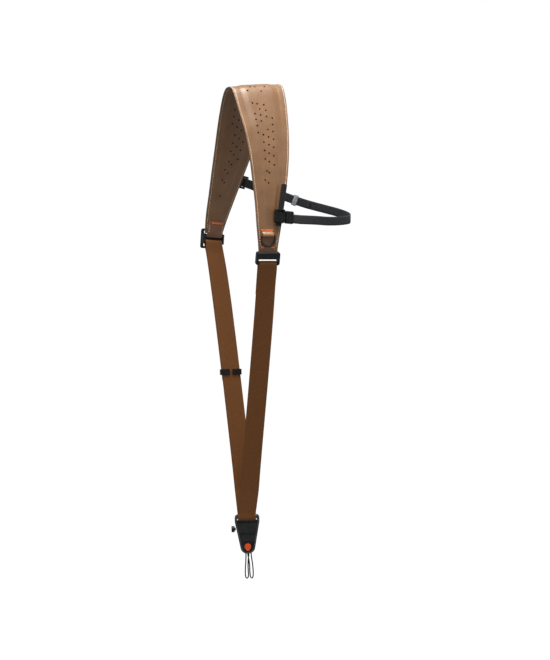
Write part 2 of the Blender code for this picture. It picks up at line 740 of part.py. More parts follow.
def fold(matrix, bar, radius, start, end, count):
    """Points on an arc round a bar that lies across a seat; angles from out to up."""
    return [matrix @ Vector((0.0, up, out)) for out, up in arc((bar[1], bar[0]), radius, start, end, count)]


def make_end_tab(name, side, drop, bar, rise):
    """Leather tab on the pad's inner face, folded round a buckle's bar."""
    matrix = seat(side, drop)
    radius = LEATHER_BAR_RADIUS + GAP + LEATHER_THICK / 2
    flat_lift = -(PAD_EDGE / 2 + TAB_GAP + LEATHER_THICK / 2)
    lift = flat_lift - PAD_INNER_RISE
    pad_end = PAD_FRONT_DROP if side < 0 else PAD_BACK_DROP
    start_run = run_at(drop - rise)
    end_run = run_at(min(pad_end, drop - bar[0] - 0.0015))
    points = []
    for i in range(6):
        run = start_run + (end_run - start_run) * i / 5
        point, across, outward = strap_frame(side, run)
        fade = min(max((run_at(pad_end) - PAD_FADE - run) / PAD_FADE, 0.0), 1.0)
        points.append((point + outward * (flat_lift + (lift - flat_lift) * fade), across))
    across = strap_frame(side, run_at(drop))[1]
    for point in fold(matrix, bar, radius, 185, 375, 8):
        points.append((point, across))
    path = [(point, direction, END_TAB_WIDTH) for point, direction in points]
    ribbon(name, path, LEATHER_THICK, finish("tab leather", LEATHER, 0.55))


def rounded_outline(half, low, high, corner):
    """Rectangle with rounded corners."""
    outline = []
    for x, y, start in (
        (half, high, 0), (-half, high, 90), (-half, low, 180), (half, low, 270),
    ):
        centre = (x - corner if x > 0 else x + corner, y - corner if y == high else y + corner)
        outline += arc(centre, corner, start, start + 90, 3)
    return outline


def bar_rods(bars, reach):
    """Round bars across a buckle."""
    return [rod("bar", (-reach, up, out), (reach, up, out), radius) for (up, out), radius in bars]


def make_front_buckle():
    """Loop buckle: cheeks, a wide bar in front and two round bars between them."""
    half = FRONT_BUCKLE_WIDTH / 2
    window = half - CHEEK
    back = FRONT_LEATHER_BAR[1] - LEATHER_BAR_RADIUS - BAR_COVER
    front = FACE_BAR_IN + FACE_BAR_THICK
    outline = rounded_outline(half, -FRONT_BUCKLE_FOOT, FRONT_BUCKLE_TOP, CORNER)
    body = plate("body", [outline], back, front, round_off=EDGE_ROUND)
    cuts = [
        block("behind the face", (-window, -0.03, back - 0.01), (window, 0.03, FACE_BAR_IN)),
        block("under the face", (-window, -0.03, FACE_BAR_IN - 0.0005), (window, -FACE_BAR_LOW, 0.02)),
    ]
    body = boolean(body, cuts, "DIFFERENCE")
    bars = ((FRONT_LEATHER_BAR, LEATHER_BAR_RADIUS), (FRONT_WEB_BAR, WEB_BAR_RADIUS))
    pieces = [body] + bar_rods(bars, window + CHEEK / 2)
    build("front_buckle", pieces, [], finish("buckle black", BLACK, 0.4), seat(FRONT, FRONT_BUCKLE_DROP))


def make_back_buckle():
    """Slider: an outer frame with deep cheeks, a flat middle bar and three round bars."""
    half = BACK_BUCKLE_WIDTH / 2
    window = half - SLIDER_CHEEK
    out = SLIDER_IN + SLIDER_THICK
    outline = rounded_outline(half, -BACK_BUCKLE_FOOT, BACK_BUCKLE_TOP, CORNER)
    frame = plate("frame", [outline], SLIDER_IN, out, round_off=EDGE_ROUND)
    lugs = block(
        "lugs",
        (-half + 0.0003, BACK_WEB_BAR[0] - WEB_BAR_RADIUS - LUG_ROOM, LUG_IN),
        (half - 0.0003, BACK_LEATHER_BAR[0] + LEATHER_BAR_RADIUS + LUG_ROOM, out - 0.0012),
        round_off=0.0006,
    )
    body = boolean(frame, [lugs], "UNION")
    cuts = [
        block(
            "window", (-window, SLIDER_BAR - BACK_BUCKLE_FOOT, LUG_IN - 0.01),
            (window, BACK_BUCKLE_TOP - SLIDER_BAR, 0.02),
        ),
    ]
    body = boolean(body, cuts, "DIFFERENCE")
    low, high = SLIDER_MIDDLE
    middle = block("middle", (-window - 0.001, low, SLIDER_IN), (window + 0.001, high, out - 0.0010))
    bars = (
        (BACK_LEATHER_BAR, LEATHER_BAR_RADIUS), (BACK_MID_BAR, MID_BAR_RADIUS),
        (BACK_WEB_BAR, WEB_BAR_RADIUS),
    )
    pieces = [body, middle] + bar_rods(bars, window + SLIDER_CHEEK / 2)
    build("back_buckle", pieces, [], finish("slider black", BLACK, 0.4), seat(BACK, BACK_BUCKLE_DROP))


# The webbing

def leg_points(side, rows):
    """Points of the webbing along one side of the strap, from rows of drop and lift."""
    made = []
    for drop, lift in rows:
        point, across, outward = strap_frame(side, run_at(drop))
        made.append((point + outward * lift, across, WEB_WIDTH))
    return made


def spaced(shares, start, end):
    """Heights between two heights, from a list of shares."""
    return [start + (end - start) * share for share in shares]


def make_webbing():
    """One band: front return, front leg, bight under the connector's bar, back leg, tail."""
    fold_radius = WEB_BAR_RADIUS + GAP + WEB_THICK / 2
    layer = WEB_THICK + GAP
    returned = spaced(FRONT_RETURN, FRONT_BUCKLE_DROP, RETURN_END_DROP)
    front_leg = spaced(FRONT_LEG, RETURN_END_DROP, STRAP_DROP)
    tail = spaced(BACK_TAIL, BACK_BUCKLE_DROP, TAIL_END_DROP)
    back_leg = spaced(BACK_LEG, TAIL_END_DROP, STRAP_DROP)
    path = leg_points(FRONT, [(drop, -layer) for drop in returned])
    front = seat(FRONT, FRONT_BUCKLE_DROP)
    across = strap_frame(FRONT, run_at(FRONT_BUCKLE_DROP))[1]
    path += [(p, across, FOLD_WIDTH) for p in fold(front, FRONT_WEB_BAR, fold_radius, 190, -10, 8)]
    path += leg_points(FRONT, reversed(list(zip(returned, OFF_BAR))))
    path += leg_points(FRONT, [(drop, 0.0) for drop in front_leg])
    bar = connector_matrix()
    bight = BAR_RADIUS + GAP + WEB_THICK / 2
    across = connector_across()
    for up, out, width in TO_BAR:
        path.append((bar @ Vector((0.0, up, out)), across, width))
    for out, up in arc((0.0, 0.0), bight, 5, -185, 10):
        path.append((bar @ Vector((0.0, up, out)), across, FOLD_WIDTH))
    for up, out, width in reversed(TO_BAR):
        path.append((bar @ Vector((0.0, up, -out)), across, width))
    path += leg_points(BACK, [(back_leg[-1], -layer / 4)])
    path += leg_points(BACK, [(drop, -layer / 2) for drop in reversed(back_leg[:-1])])
    path += leg_points(BACK, [(TAIL_END_DROP, -layer / 2)])
    path += leg_points(BACK, [(drop, -layer / 2) for drop in reversed(tail[1:])])
    back = seat(BACK, BACK_BUCKLE_DROP)
    across = strap_frame(BACK, run_at(BACK_BUCKLE_DROP))[1]
    path += [(p, across, FOLD_WIDTH) for p in fold(back, BACK_WEB_BAR, fold_radius, 190, -20, 8)]
    path += leg_points(BACK, zip(tail, OFF_SLIDER))
    path += leg_points(BACK, [(drop, layer / 2) for drop in tail[len(OFF_SLIDER):]])
    path += leg_points(BACK, [(TAIL_END_DROP, layer / 2)])
    ribbon("main_webbing", path, WEB_THICK, finish("brown webbing", WEBBING, 0.7))


def make_keeper():
    """Open clip round the two layers of webbing, with its slot on the inner face."""
    layer = WEB_THICK + GAP
    inner_x = WEB_WIDTH / 2 + KEEPER_GAP
    inner_z = layer / 2 + WEB_THICK / 2 + KEEPER_GAP
    x = inner_x + KEEPER_WALL
    z = inner_z + KEEPER_WALL
    slot = KEEPER_SLOT / 2
    outline = [
        (-slot, -z), (-x, -z), (-x, z), (x, z), (x, -z), (slot, -z),
        (slot, -inner_z), (inner_x, -inner_z), (inner_x, inner_z),
        (-inner_x, inner_z), (-inner_x, -inner_z), (-slot, -inner_z),
    ]
    clip = plate("keeper", [outline], -KEEPER_HEIGHT / 2, KEEPER_HEIGHT / 2)
    upright = Matrix.Rotation(radians(90), 4, "X")
    place(clip, upright)
    build("strap_keeper", [clip], [], finish("keeper black", BLACK, 0.45), seat(BACK, KEEPER_DROP))


# The connector

def connector_across():
    """Direction of the connector's bar."""
    return middle_line(FRONT, RUNS[-1])[1]


def connector_matrix():
    """Frame of the connector: on its bar, y up, z to the front."""
    front = middle_line(FRONT, RUNS[-1])[0]
    back = middle_line(BACK, RUNS[-1])[0]
    across = connector_across()
    outward = across.cross(Vector((0.0, 0.0, 1.0)))
    return frame_matrix((front + back) / 2, outward.cross(across), outward)


def ring_outline(inset, top):
    """Half-round tapered outline of the connector, drawn in by an inset."""
    half = FRAME_HALF - inset
    low_half = FRAME_LOW_HALF - inset
    corner = FRAME_CORNER
    foot = FRAME_FOOT + inset
    right = [
        (half - corner, top), (half - 0.45 * corner, top - 0.16 * corner),
        (half - 0.13 * corner, top - 0.50 * corner), (half, top - corner),
    ]
    right.append((half, FRAME_SHOULDER))
    right.append((low_half, FRAME_LOW))
    for angle in (pi / 8, pi / 4, 3 * pi / 8):
        right.append((low_half * cos(angle), FRAME_LOW + (foot - FRAME_LOW) * sin(angle)))
    left = [(-x, y) for x, y in reversed(right)]
    return right + [(0.0, foot)] + left


def make_connector_pivot():
    """Empty on the connector's bar, on which the connector swings."""
    pivot = bpy.data.objects.new("connector_pivot", None)
    PARTS.objects.link(pivot)
    pivot.matrix_world = connector_matrix()
    return pivot


def make_connector_frame(pivot):
    """Tapered ring: open at the top but for its bar, with cord holes in its foot."""
    half = FRAME_THICK / 2
    ring = plate(
        "ring", [ring_outline(0.0, FRAME_TOP)], -half, half, round_off=EDGE_ROUND,
    )
    window = plate("window", [ring_outline(FRAME_RIM, 0.0)], -0.006, 0.006)
    eye = block("eye", (-EYE_HALF, -BAR_RADIUS, -0.006), (EYE_HALF, FRAME_TOP + 0.004, 0.006))
    bore = []
    for route in (LEFT_CORD, RIGHT_CORD):
        for x, _, z in (route[0], route[-1]):
            bore.append(rod(
                "cord hole", (x, FRAME_FOOT - 0.002, z), (x, FRAME_FOOT + CORD_HOLE_DEPTH, z),
                CORD_HOLE_RADIUS, 8,
            ))
    body = boolean(ring, [window, eye], "DIFFERENCE")
    reach = FRAME_HALF - FRAME_RIM / 2
    bar = rod("bar", (-reach, 0.0, 0.0), (reach, 0.0, 0.0), BAR_RADIUS)
    black = finish("connector black", BLACK, 0.35)
    build("connector_frame", [body, bar], bore, black, parent=pivot)


def teardrop(half, top, tip, count=5):
    """Round-topped outline that narrows to a blunt tip."""
    centre = top - half
    outline = arc((0.0, centre), half, -10, 190, 2 * count)
    return outline + [(-half * 0.42, tip + 0.0010), (0.0, tip), (half * 0.42, tip + 0.0010)]


def make_connector_core(pivot):
    """Stepped plate that fills the ring, with a flange behind it and a pocket for the button."""
    inset = FRAME_RIM + GAP
    body = plate("core", [ring_outline(inset, 0.010)], CORE_BACK, CORE_OUT)
    flange = plate("flange", [ring_outline(FRAME_RIM / 2, 0.010)], CORE_BACK, CORE_BACK + CORE_FLANGE)
    groove = [(-FRAME_HALF, GROOVE_LOW), (FRAME_HALF, GROOVE_LOW)]
    for share in np.linspace(1.0, -1.0, 9):
        groove.append((share * FRAME_HALF, GROOVE_TOP - GROOVE_SAG * share**2))
    cuts = [
        block("above", (-0.03, CORE_TOP, -0.01), (0.03, 0.02, 0.01)),
        block("strip", (-0.03, STRIP_LOW, STRIP_OUT), (0.03, 0.02, 0.01)),
        plate("groove", [groove], GROOVE_OUT, 0.01),
        block("lower field", (-0.03, -0.06, SECOND_OUT), (0.03, GROOVE_LOW, 0.01)),
        block("bed", (-0.03, -0.06, CORE_BED), (0.03, CORE_STEP, 0.01)),
        plate(
            "pocket", [teardrop(BUTTON_HALF + GAP, BUTTON_TOP + GAP, BUTTON_TIP - GAP)],
            BUTTON_BED, 0.008,
        ),
    ]
    build("connector_core", [body, flange], cuts, finish("core grey", GREY, 0.45), parent=pivot)


def make_release_button(pivot):
    """Drop-shaped press button in its pocket, with its origin in its own middle."""
    low = BUTTON_BED + BUTTON_TRAVEL + GAP
    middle = (BUTTON_TOP + BUTTON_TIP) / 2
    outline = teardrop(BUTTON_HALF, BUTTON_TOP - middle, BUTTON_TIP - middle)
    body = plate("button", [outline], low, BUTTON_OUT)
    orange = finish("orange plastic", ORANGE, 0.35)
    build("release_button", [body], [], orange, Matrix.Translation((0.0, middle, 0.0)), pivot)


def make_side_knob(pivot):
    """Small round knob on a neck, on the ring's left side."""
    slope = (FRAME_HALF - FRAME_LOW_HALF) / (FRAME_SHOULDER - FRAME_LOW)
    face = FRAME_HALF + slope * (KNOB_AT - FRAME_SHOULDER)
    start = -face - GAP - slope * KNOB_NECK_RADIUS
    neck_end = start - KNOB_NECK
    neck = rod("neck", (start, KNOB_AT, 0.0), (neck_end - 0.0005, KNOB_AT, 0.0), KNOB_NECK_RADIUS)
    head = rod("head", (neck_end, KNOB_AT, 0.0), (neck_end - KNOB_THICK, KNOB_AT, 0.0), KNOB_RADIUS, 16)
    build("side_knob", [head, neck], [], finish("knob black", BLACK, 0.4), parent=pivot)


def make_cord_loops(pivot):
    """Two thin cord loops that hang from the ring's foot."""
    for name, route in (("left_cord_loop", LEFT_CORD), ("right_cord_loop", RIGHT_CORD)):
        points = [Vector((x, FRAME_FOOT + y, z)) for x, y, z in route]
        grey = finish("grey cord", GREY, 0.7)
        tube(name, smooth_route(points, CORD_STEPS), CORD_RADIUS, grey, None, pivot)


# The D-ring

def ring_seat():
    """Frame of the D-ring's seat, in the middle of its tab."""
    return seat(FRONT, RING_DROP) @ Matrix.Translation((RING_ASIDE, 0.0, 0.0))


def ring_axis_out():
    """Height of the ring's bar over the pad's middle surface."""
    under = PAD_EDGE / 2 + GAP + RING_TAB_THICK / 2
    return under + RING_WIRE + GAP + RING_TAB_THICK / 2


def make_d_ring():
    """Wire D-ring that lies on the pad, with its origin on its straight bar."""
    half = RING_WIDTH / 2 - RING_WIRE
    foot = -(RING_HEIGHT - 2 * RING_WIRE)
    lifted = ring_seat() @ Matrix.Translation((0.0, 0.0, ring_axis_out()))
    corner = RING_CORNER
    outline = [(0.0, 0.0), (corner - half, 0.0)]
    outline += arc((corner - half, -corner), corner, 120, 180, 2)
    straight = foot + half
    outline += arc((0.0, straight), half, 180, 360, 12)
    outline += arc((half - corner, -corner), corner, 0, 60, 2)
    outline.append((half - corner, 0.0))
    points = [Vector((x, y, 0.0)) for x, y in outline]
    resting = lifted @ Matrix.Rotation(radians(RING_RESTS_IN), 4, "X")
    tube("d_ring", points, RING_WIRE, finish("ring black", BLACK, 0.3, 0.6), resting, closed=True)


def make_ring_tab():
    """Leather tab folded round the ring's bar, with a rounded upper end."""
    matrix = ring_seat()
    axis_out = ring_axis_out()
    radius = RING_WIRE + GAP + RING_TAB_THICK / 2
    layer = RING_TAB_THICK + GAP
    top = RING_TAB_RISE
    across = strap_frame(FRONT, run_at(RING_DROP))[1]
    low = axis_out - radius
    path = [
        (matrix @ Vector((0.0, top - 0.0012, low)), across, RING_TAB_HEAD),
        (matrix @ Vector((0.0, top * 0.45, low)), across, (RING_TAB_HEAD + RING_TAB_WIDTH) / 2),
    ]
    for point in fold(matrix, (0.0, axis_out), radius, -178, 12, 8):
        path.append((point, across, RING_TAB_WIDTH))
    rows = (
        (0.45, low + 2.1 * layer, (RING_TAB_HEAD + RING_TAB_WIDTH) / 2),
        (0.72, low + 1.6 * layer, RING_TAB_HEAD),
        (0.90, low + 1.25 * layer, RING_TAB_HEAD),
        (1.03, low + 0.70 * layer, RING_TAB_HEAD - 0.0006),
        (1.06, low + 0.20 * layer, RING_TAB_HEAD - 0.0014),
    )
    for share, out, width in rows:
        path.append((matrix @ Vector((0.0, top * share, out)), across, width))
    ribbon("d_ring_tab", path, RING_TAB_THICK, finish("ring tab leather", LEATHER, 0.5))


# Rails, side release and back carriage

def rail_frame(side):
    """Frame on the middle of a rail's foot plane, y up along the rail, z outwards."""
    ends = []
    for drop in (RAIL_TOP_DROP, RAIL_FOOT_DROP):
        half = pad_width(run_at(drop)) / 2
        ends.append(spot(side, drop, half - RAIL_INSET, PAD_EDGE / 2 + RAIL_SEAT))
    middle = strap_frame(side, run_at((RAIL_TOP_DROP + RAIL_FOOT_DROP) / 2))
    up = ends[0] - ends[1]
    return frame_matrix((ends[0] + ends[1]) / 2, up, middle[2]), up.length


def rail_height(side, drop):
    """Place along a rail, from its middle, of a height below the crest."""
    matrix, _ = rail_frame(side)
    half = pad_width(run_at(drop)) / 2
    return (matrix.inverted() @ spot(side, drop, half - RAIL_INSET)).y


def toward_arm(side):
    """Sign of +X in a rail's frame."""
    return 1.0 if side < 0 else -1.0


def make_rail(name, side):
    """T-section rail on the pad's margin."""
    matrix, length = rail_frame(side)
    top = RAIL_STEM_THICK + RAIL_HEAD_THICK
    foot = length / 2 - EDGE_ROUND
    stem = block("stem", (-RAIL_STEM / 2, -foot, 0.0), (RAIL_STEM / 2, foot, top - EDGE_ROUND / 2))
    head = block(
        "head", (-RAIL_HEAD / 2, -length / 2, RAIL_STEM_THICK), (RAIL_HEAD / 2, length / 2, top),
        round_off=EDGE_ROUND,
    )
    build(name, [head, stem], [], finish(name + " black", BLACK, 0.5), matrix)


def channel_cuts(foot, top):
    """Way through a block in which a rail's stem and head run."""
    head = RAIL_HEAD / 2 + GAP
    neck = RAIL_STEM / 2 + GAP
    low = RAIL_STEM_THICK - GAP
    high = RAIL_STEM_THICK + RAIL_HEAD_THICK + GAP
    return [
        block("head way", (-head, foot - 0.01, low), (head, top + 0.01, high)),
        block("neck way", (-neck, foot - 0.01, -0.01), (neck, top + 0.01, low + 0.0005)),
    ]


def socket_frame():
    """Frame of the side release: on the front rail, turned so that it hangs level."""
    matrix, _ = rail_frame(FRONT)
    middle = Matrix.Translation((0.0, rail_height(FRONT, SOCKET_DROP), 0.0))
    return matrix @ middle @ Matrix.Rotation(radians(SOCKET_TURN), 4, "Z")


def make_side_release():
    """Socket clipped on the front rail, and the ribbed plug fastened in it."""
    level = socket_frame()
    matrix, _ = rail_frame(FRONT)
    back = level.inverted() @ matrix
    half = SOCKET_HEIGHT / 2
    low = (-SOCKET_OUT, -half, GAP)
    base = block("base", low, (SOCKET_OUT, half, RELEASE_OUT), round_off=EDGE_ROUND)
    low = (-SOCKET_IN, STEP_IN - half, SOCKET_CLEAR)
    high = (SOCKET_OUT - 2 * EDGE_ROUND, half - STEP_IN, RELEASE_OUT - STEP_IN)
    over = block("over", low, high, round_off=EDGE_ROUND)
    body = boolean(base, [over], "UNION")
    middle = rail_height(FRONT, SOCKET_DROP)
    cuts = channel_cuts(middle - half, middle + half)
    for cut in cuts:
        place(cut, back)
    cuts.append(block(
        "window", (-SOCKET_IN + 0.0022, half - 0.0046, RELEASE_OUT - 0.0026),
        (SOCKET_OUT - 0.0030, half - 0.0016, RELEASE_OUT + 0.01),
    ))
    build("release_socket", [body], cuts, finish("socket black", BLACK, 0.4), level)
    left = SOCKET_OUT + GAP
    right = left + PLUG_LENGTH
    low = -PLUG_HEIGHT / 2 - PLUG_BELOW
    high = PLUG_HEIGHT / 2 - PLUG_BELOW
    pieces = [block(
        "plug", (left, low, PLUG_OUT - PLUG_THICK), (right, high, PLUG_OUT), round_off=PLUG_ROUND,
    )]
    for share in PLUG_RIBS:
        x = left + share * PLUG_LENGTH
        foot = (x - PLUG_RIB_HALF, low + PLUG_ROUND, PLUG_OUT - PLUG_ROUND)
        head = (x + PLUG_RIB_HALF, high - PLUG_ROUND, PLUG_OUT + PLUG_RIB_HALF)
        pieces.append(block("rib", foot, head, round_off=EDGE_ROUND / 2))
    reach = ARM_WIDTH / 2 + GAP
    slot = block(
        "slot", (right - 0.0040, -PLUG_SLOT_BELOW - reach, PLUG_SLOT_Z - ARM_THICK / 2 - GAP),
        (right + 0.01, -PLUG_SLOT_BELOW + reach, PLUG_SLOT_Z + ARM_THICK / 2 + GAP),
    )
    build("release_plug", pieces, [slot], finish("plug black", BLACK, 0.4), level)


def make_back_carriage():
    """Slider on the back rail, with a plate and a bar for the underarm strap."""
    matrix, _ = rail_frame(BACK)
    middle = rail_height(BACK, CARRIAGE_DROP)
    arm = toward_arm(BACK)
    out = RAIL_STEM_THICK + RAIL_HEAD_THICK + CARRIAGE_TOP
    foot = middle - CARRIAGE_HEIGHT / 2
    top = middle + CARRIAGE_HEIGHT / 2
    body = block("body", (-CARRIAGE_HALF, foot, GAP), (CARRIAGE_HALF, top, out), round_off=EDGE_ROUND)
    near = arm * (CARRIAGE_HALF - 0.0010)
    far = arm * CARRIAGE_ARM
    wing = block(
        "wing", (min(near, far), foot + 0.0004, CARRIAGE_BAR_Z - 0.0022),
        (max(near, far), top - 0.0004, CARRIAGE_BAR_Z + 0.0022), round_off=EDGE_ROUND,
    )
    pieces = [body, wing]
    bar_x = arm * CARRIAGE_BAR_OUT
    near = arm * (CARRIAGE_ARM - 0.0012)
    far = arm * (CARRIAGE_BAR_OUT + 0.0019)
    for y in (foot + 0.0017, top - 0.0017):
        pieces.append(block(
            "ear", (min(near, far), y - 0.0011, CARRIAGE_BAR_Z - 0.0018),
            (max(near, far), y + 0.0011, CARRIAGE_BAR_Z + 0.0018), round_off=0.0005,
        ))
    start = (bar_x, foot + 0.0017, CARRIAGE_BAR_Z)
    end = (bar_x, top - 0.0017, CARRIAGE_BAR_Z)
    pieces.append(rod("bar", start, end, CARRIAGE_BAR_RADIUS))
    cuts = channel_cuts(foot, top)
    build("back_carriage", pieces, cuts, finish("carriage black", BLACK, 0.4), matrix)


# The underarm strap

def arm_route():
    """Middle line of the underarm strap from the carriage's bar to the plug's slot."""
    matrix, _ = rail_frame(BACK)
    start = Vector((
        toward_arm(BACK) * (CARRIAGE_BAR_OUT + 0.0050), rail_height(BACK, CARRIAGE_DROP), CARRIAGE_BAR_Z,
    ))
    points = [matrix @ start]
    for out, along, drop in ARM_ROUTE:
        points.append(Vector((out * ARM_REACH, along * SPREAD, PAD_UNDER - drop * STRAP_DROP)))
    level = socket_frame()
    right = SOCKET_OUT + GAP + PLUG_LENGTH
    for x in (right + 0.0100, right + 0.0030, right - 0.0034):
        points.append(level @ Vector((x, -PLUG_SLOT_BELOW, PLUG_SLOT_Z)))
    return smooth_route(points, ARM_POINTS)


def arm_frames():
    """Point, width direction and outward direction along the underarm strap."""
    route = arm_route()
    upright = Vector((0.0, 0.0, 1.0))
    back_up = rail_frame(BACK)[0].to_3x3() @ Vector((0.0, 1.0, 0.0))
    front_up = socket_frame().to_3x3() @ Vector((0.0, 1.0, 0.0))
    last = len(route) - 1
    made = []
    for i, point in enumerate(route):
        along = (route[min(i + 1, last)] - route[max(i - 1, 0)]).normalized()
        up = upright.lerp(back_up, max(1.0 - i / 10, 0.0))
        up = up.lerp(front_up, min(max(1.0 - (last - 1 - i) / 8, 0.0), 1.0))
        up = (up - along * up.dot(along)).normalized()
        made.append((point, up, up.cross(along)))
    return made


def make_underarm():
    """Black band round the carriage's bar, through its slider, to the plug."""
    frames = arm_frames()
    last = len(frames) - 1
    slider_index = min(range(last // 2), key=lambda i: abs(frames[i][0].x - ARM_SLIDER_OUT * ARM_REACH))
    layer = ARM_THICK + GAP
    matrix, _ = rail_frame(BACK)
    arm = toward_arm(BACK)
    bar = Vector((arm * CARRIAGE_BAR_OUT, rail_height(BACK, CARRIAGE_DROP), CARRIAGE_BAR_Z))
    rail_up = matrix.to_3x3() @ Vector((0.0, 1.0, 0.0))
    radius = CARRIAGE_BAR_RADIUS + GAP + ARM_THICK / 2
    path = []
    for point, up, out in reversed(frames[1:slider_index + ARM_TAIL_STEPS + 1]):
        path.append((point - out * layer / 2, up, ARM_WIDTH))
    hand = 1.0 if (matrix.to_3x3() @ Vector((0.0, 0.0, 1.0))).dot(frames[1][2]) > 0 else -1.0
    for i in range(9):
        angle = radians(-50 - 260 * i / 8)
        offset = Vector((arm * cos(angle) * radius, 0.0, hand * sin(angle) * radius))
        path.append((matrix @ (bar + offset), rail_up, ARM_WIDTH))
    for i, (point, up, out) in enumerate(frames[1:], 1):
        share = min(max((last - 2 - i) / 6, 0.0), 1.0)
        path.append((point + out * layer / 2 * share, up, ARM_WIDTH))
    ribbon("underarm_strap", path, ARM_THICK, finish("black webbing", BLACK, 0.75))
    point, up, out = frames[slider_index]
    make_underarm_slider(frame_matrix(point, up, out), layer)


def make_underarm_slider(matrix, layer):
    """Small ladder slider round the two layers of the underarm strap."""
    half_z = layer / 2 + ARM_THICK / 2 + GAP
    wall = ARM_SLIDER_WALL
    half_x = ARM_SLIDER_LENGTH / 2
    half_y = ARM_SLIDER_HEIGHT / 2
    body = block(
        "slider", (-half_x, -half_y, -half_z - wall), (half_x, half_y, half_z + wall), round_off=0.0006,
    )
    way = block(
        "way", (-0.01, -ARM_WIDTH / 2 - GAP, -half_z), (0.01, ARM_WIDTH / 2 + GAP, half_z),
    )
    build("underarm_slider", [body], [way], finish("slider grey", GREY, 0.35), matrix)


make_pad()
make_end_tab("front_end_tab", FRONT, FRONT_BUCKLE_DROP, FRONT_LEATHER_BAR, FRONT_TAB_RISE)
make_end_tab("back_end_tab", BACK, BACK_BUCKLE_DROP, BACK_LEATHER_BAR, BACK_TAB_RISE)
make_front_buckle()
make_back_buckle()
make_webbing()
make_keeper()
PIVOT = make_connector_pivot()
make_connector_frame(PIVOT)
make_connector_core(PIVOT)
make_release_button(PIVOT)
make_side_knob(PIVOT)
make_cord_loops(PIVOT)
make_d_ring()
make_ring_tab()
make_rail("front_rail", FRONT)
make_rail("back_rail", BACK)
make_side_release()
make_back_carriage()
make_underarm()
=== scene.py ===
"""Camera strap: leather, webbing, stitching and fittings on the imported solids.

Metres, +Z up, the wearer faces -Y. The strap's table and sizes are those of the solids.
"""

from math import cos, hypot, pi, radians, sin

import bmesh
import bpy
import numpy as np
from mathutils import Matrix, Vector


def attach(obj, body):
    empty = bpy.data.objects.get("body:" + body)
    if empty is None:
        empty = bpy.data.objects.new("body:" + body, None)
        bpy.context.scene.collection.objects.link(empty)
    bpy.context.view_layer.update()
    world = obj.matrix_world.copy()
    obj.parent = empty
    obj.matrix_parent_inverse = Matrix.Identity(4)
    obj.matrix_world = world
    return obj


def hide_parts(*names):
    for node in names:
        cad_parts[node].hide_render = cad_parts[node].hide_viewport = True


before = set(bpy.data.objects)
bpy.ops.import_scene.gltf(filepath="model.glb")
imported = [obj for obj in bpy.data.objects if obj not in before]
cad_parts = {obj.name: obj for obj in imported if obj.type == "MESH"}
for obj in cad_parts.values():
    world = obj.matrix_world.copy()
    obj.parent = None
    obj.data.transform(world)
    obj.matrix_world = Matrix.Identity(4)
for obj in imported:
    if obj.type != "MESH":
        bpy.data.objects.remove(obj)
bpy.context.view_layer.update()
scene = bpy.context.scene
scene.view_settings.view_transform = "Standard"

# Driving sizes of the whole strap
STRAP_DROP = 0.5727        # height from the pad's crest to the connector's bar
SPREAD = 0.0755            # half of the distance between front and back, at the widest
SWAY = 0.0216              # how far the pad's ends swing towards -X
PAD_WIDTH = 0.0748         # width of the pad at its crest
PAD_FRONT_DROP = 0.2065    # height from the crest to the pad's front end
PAD_BACK_DROP = 0.197      # and to its back end

# Pad section
PAD_EDGE = 0.0030          # thickness of the stitched margin
PAD_OUTER_RISE = 0.0013    # how far the padding stands out over the margin
PAD_INNER_RISE = 0.0013    # and on the side that touches the shoulder
PAD_MARGIN = 0.0100        # width of the flat margin
PAD_SLOPE = 0.0095         # width of the slope from the margin to the padding
PAD_FADE = 0.030           # length over which the padding runs out at each end
HOLE_RADIUS = 0.00125

# Webbing and leather strips
WEB_WIDTH = 0.0250
WEB_THICK = 0.0016
FOLD_WIDTH = 0.0243        # the webbing's width where it is drawn in round a bar
LEATHER_THICK = 0.0016
END_TAB_WIDTH = 0.0232
TAB_GAP = 0.0007           # between those tabs and the pad's curved inner face
GAP = 0.0003               # clearance between pieces that touch

# Where things sit on the strap, as heights below the crest
FRONT_BUCKLE_BELOW = 0.0055   # the front buckle's seat, below the pad's front end
BACK_BUCKLE_BELOW = 0.0090    # and the back one's, below its back end
FRONT_BUCKLE_DROP = PAD_FRONT_DROP + FRONT_BUCKLE_BELOW
BACK_BUCKLE_DROP = PAD_BACK_DROP + BACK_BUCKLE_BELOW
FRONT_TAB_RISE = 0.0320    # how far the tabs reach up the pad's inner face from the buckles
BACK_TAB_RISE = 0.0260
RETURN_LENGTH = 0.0500     # the sewn return behind the front buckle
TAIL_LENGTH = 0.1860       # the free tail, from the back buckle down
RETURN_END_DROP = FRONT_BUCKLE_DROP + RETURN_LENGTH
TAIL_END_DROP = BACK_BUCKLE_DROP + TAIL_LENGTH

# Where the webbing is laid through: return and tail as shares of their length from the
# buckle, the legs as shares of the height from there to the connector's bar
FRONT_RETURN = (1.0, 0.80, 0.64, 0.48, 0.34)
OFF_BAR = (0.0, 0.0, 0.0004, 0.0010, 0.0016)   # how its layers part towards the front bar
FRONT_LEG = (0.026, 0.092, 0.173, 0.288, 0.418, 0.549, 0.680, 0.794, 0.876)
BACK_TAIL = (0.051, 0.086, 0.129, 0.183, 0.247, 0.344, 0.478, 0.640, 0.774, 0.903, 0.973)
BACK_LEG = (0.074, 0.244, 0.443, 0.642, 0.784)
OFF_SLIDER = (0.0021, 0.0013)   # how far out the tail starts under the back buckle
BESIDE_BAR = (0.007, 0.0032)    # where it reaches the connector's bar: up, out
STRAIGHT_SHARES = (0.35, 0.70)  # the rows between, on its straight way there

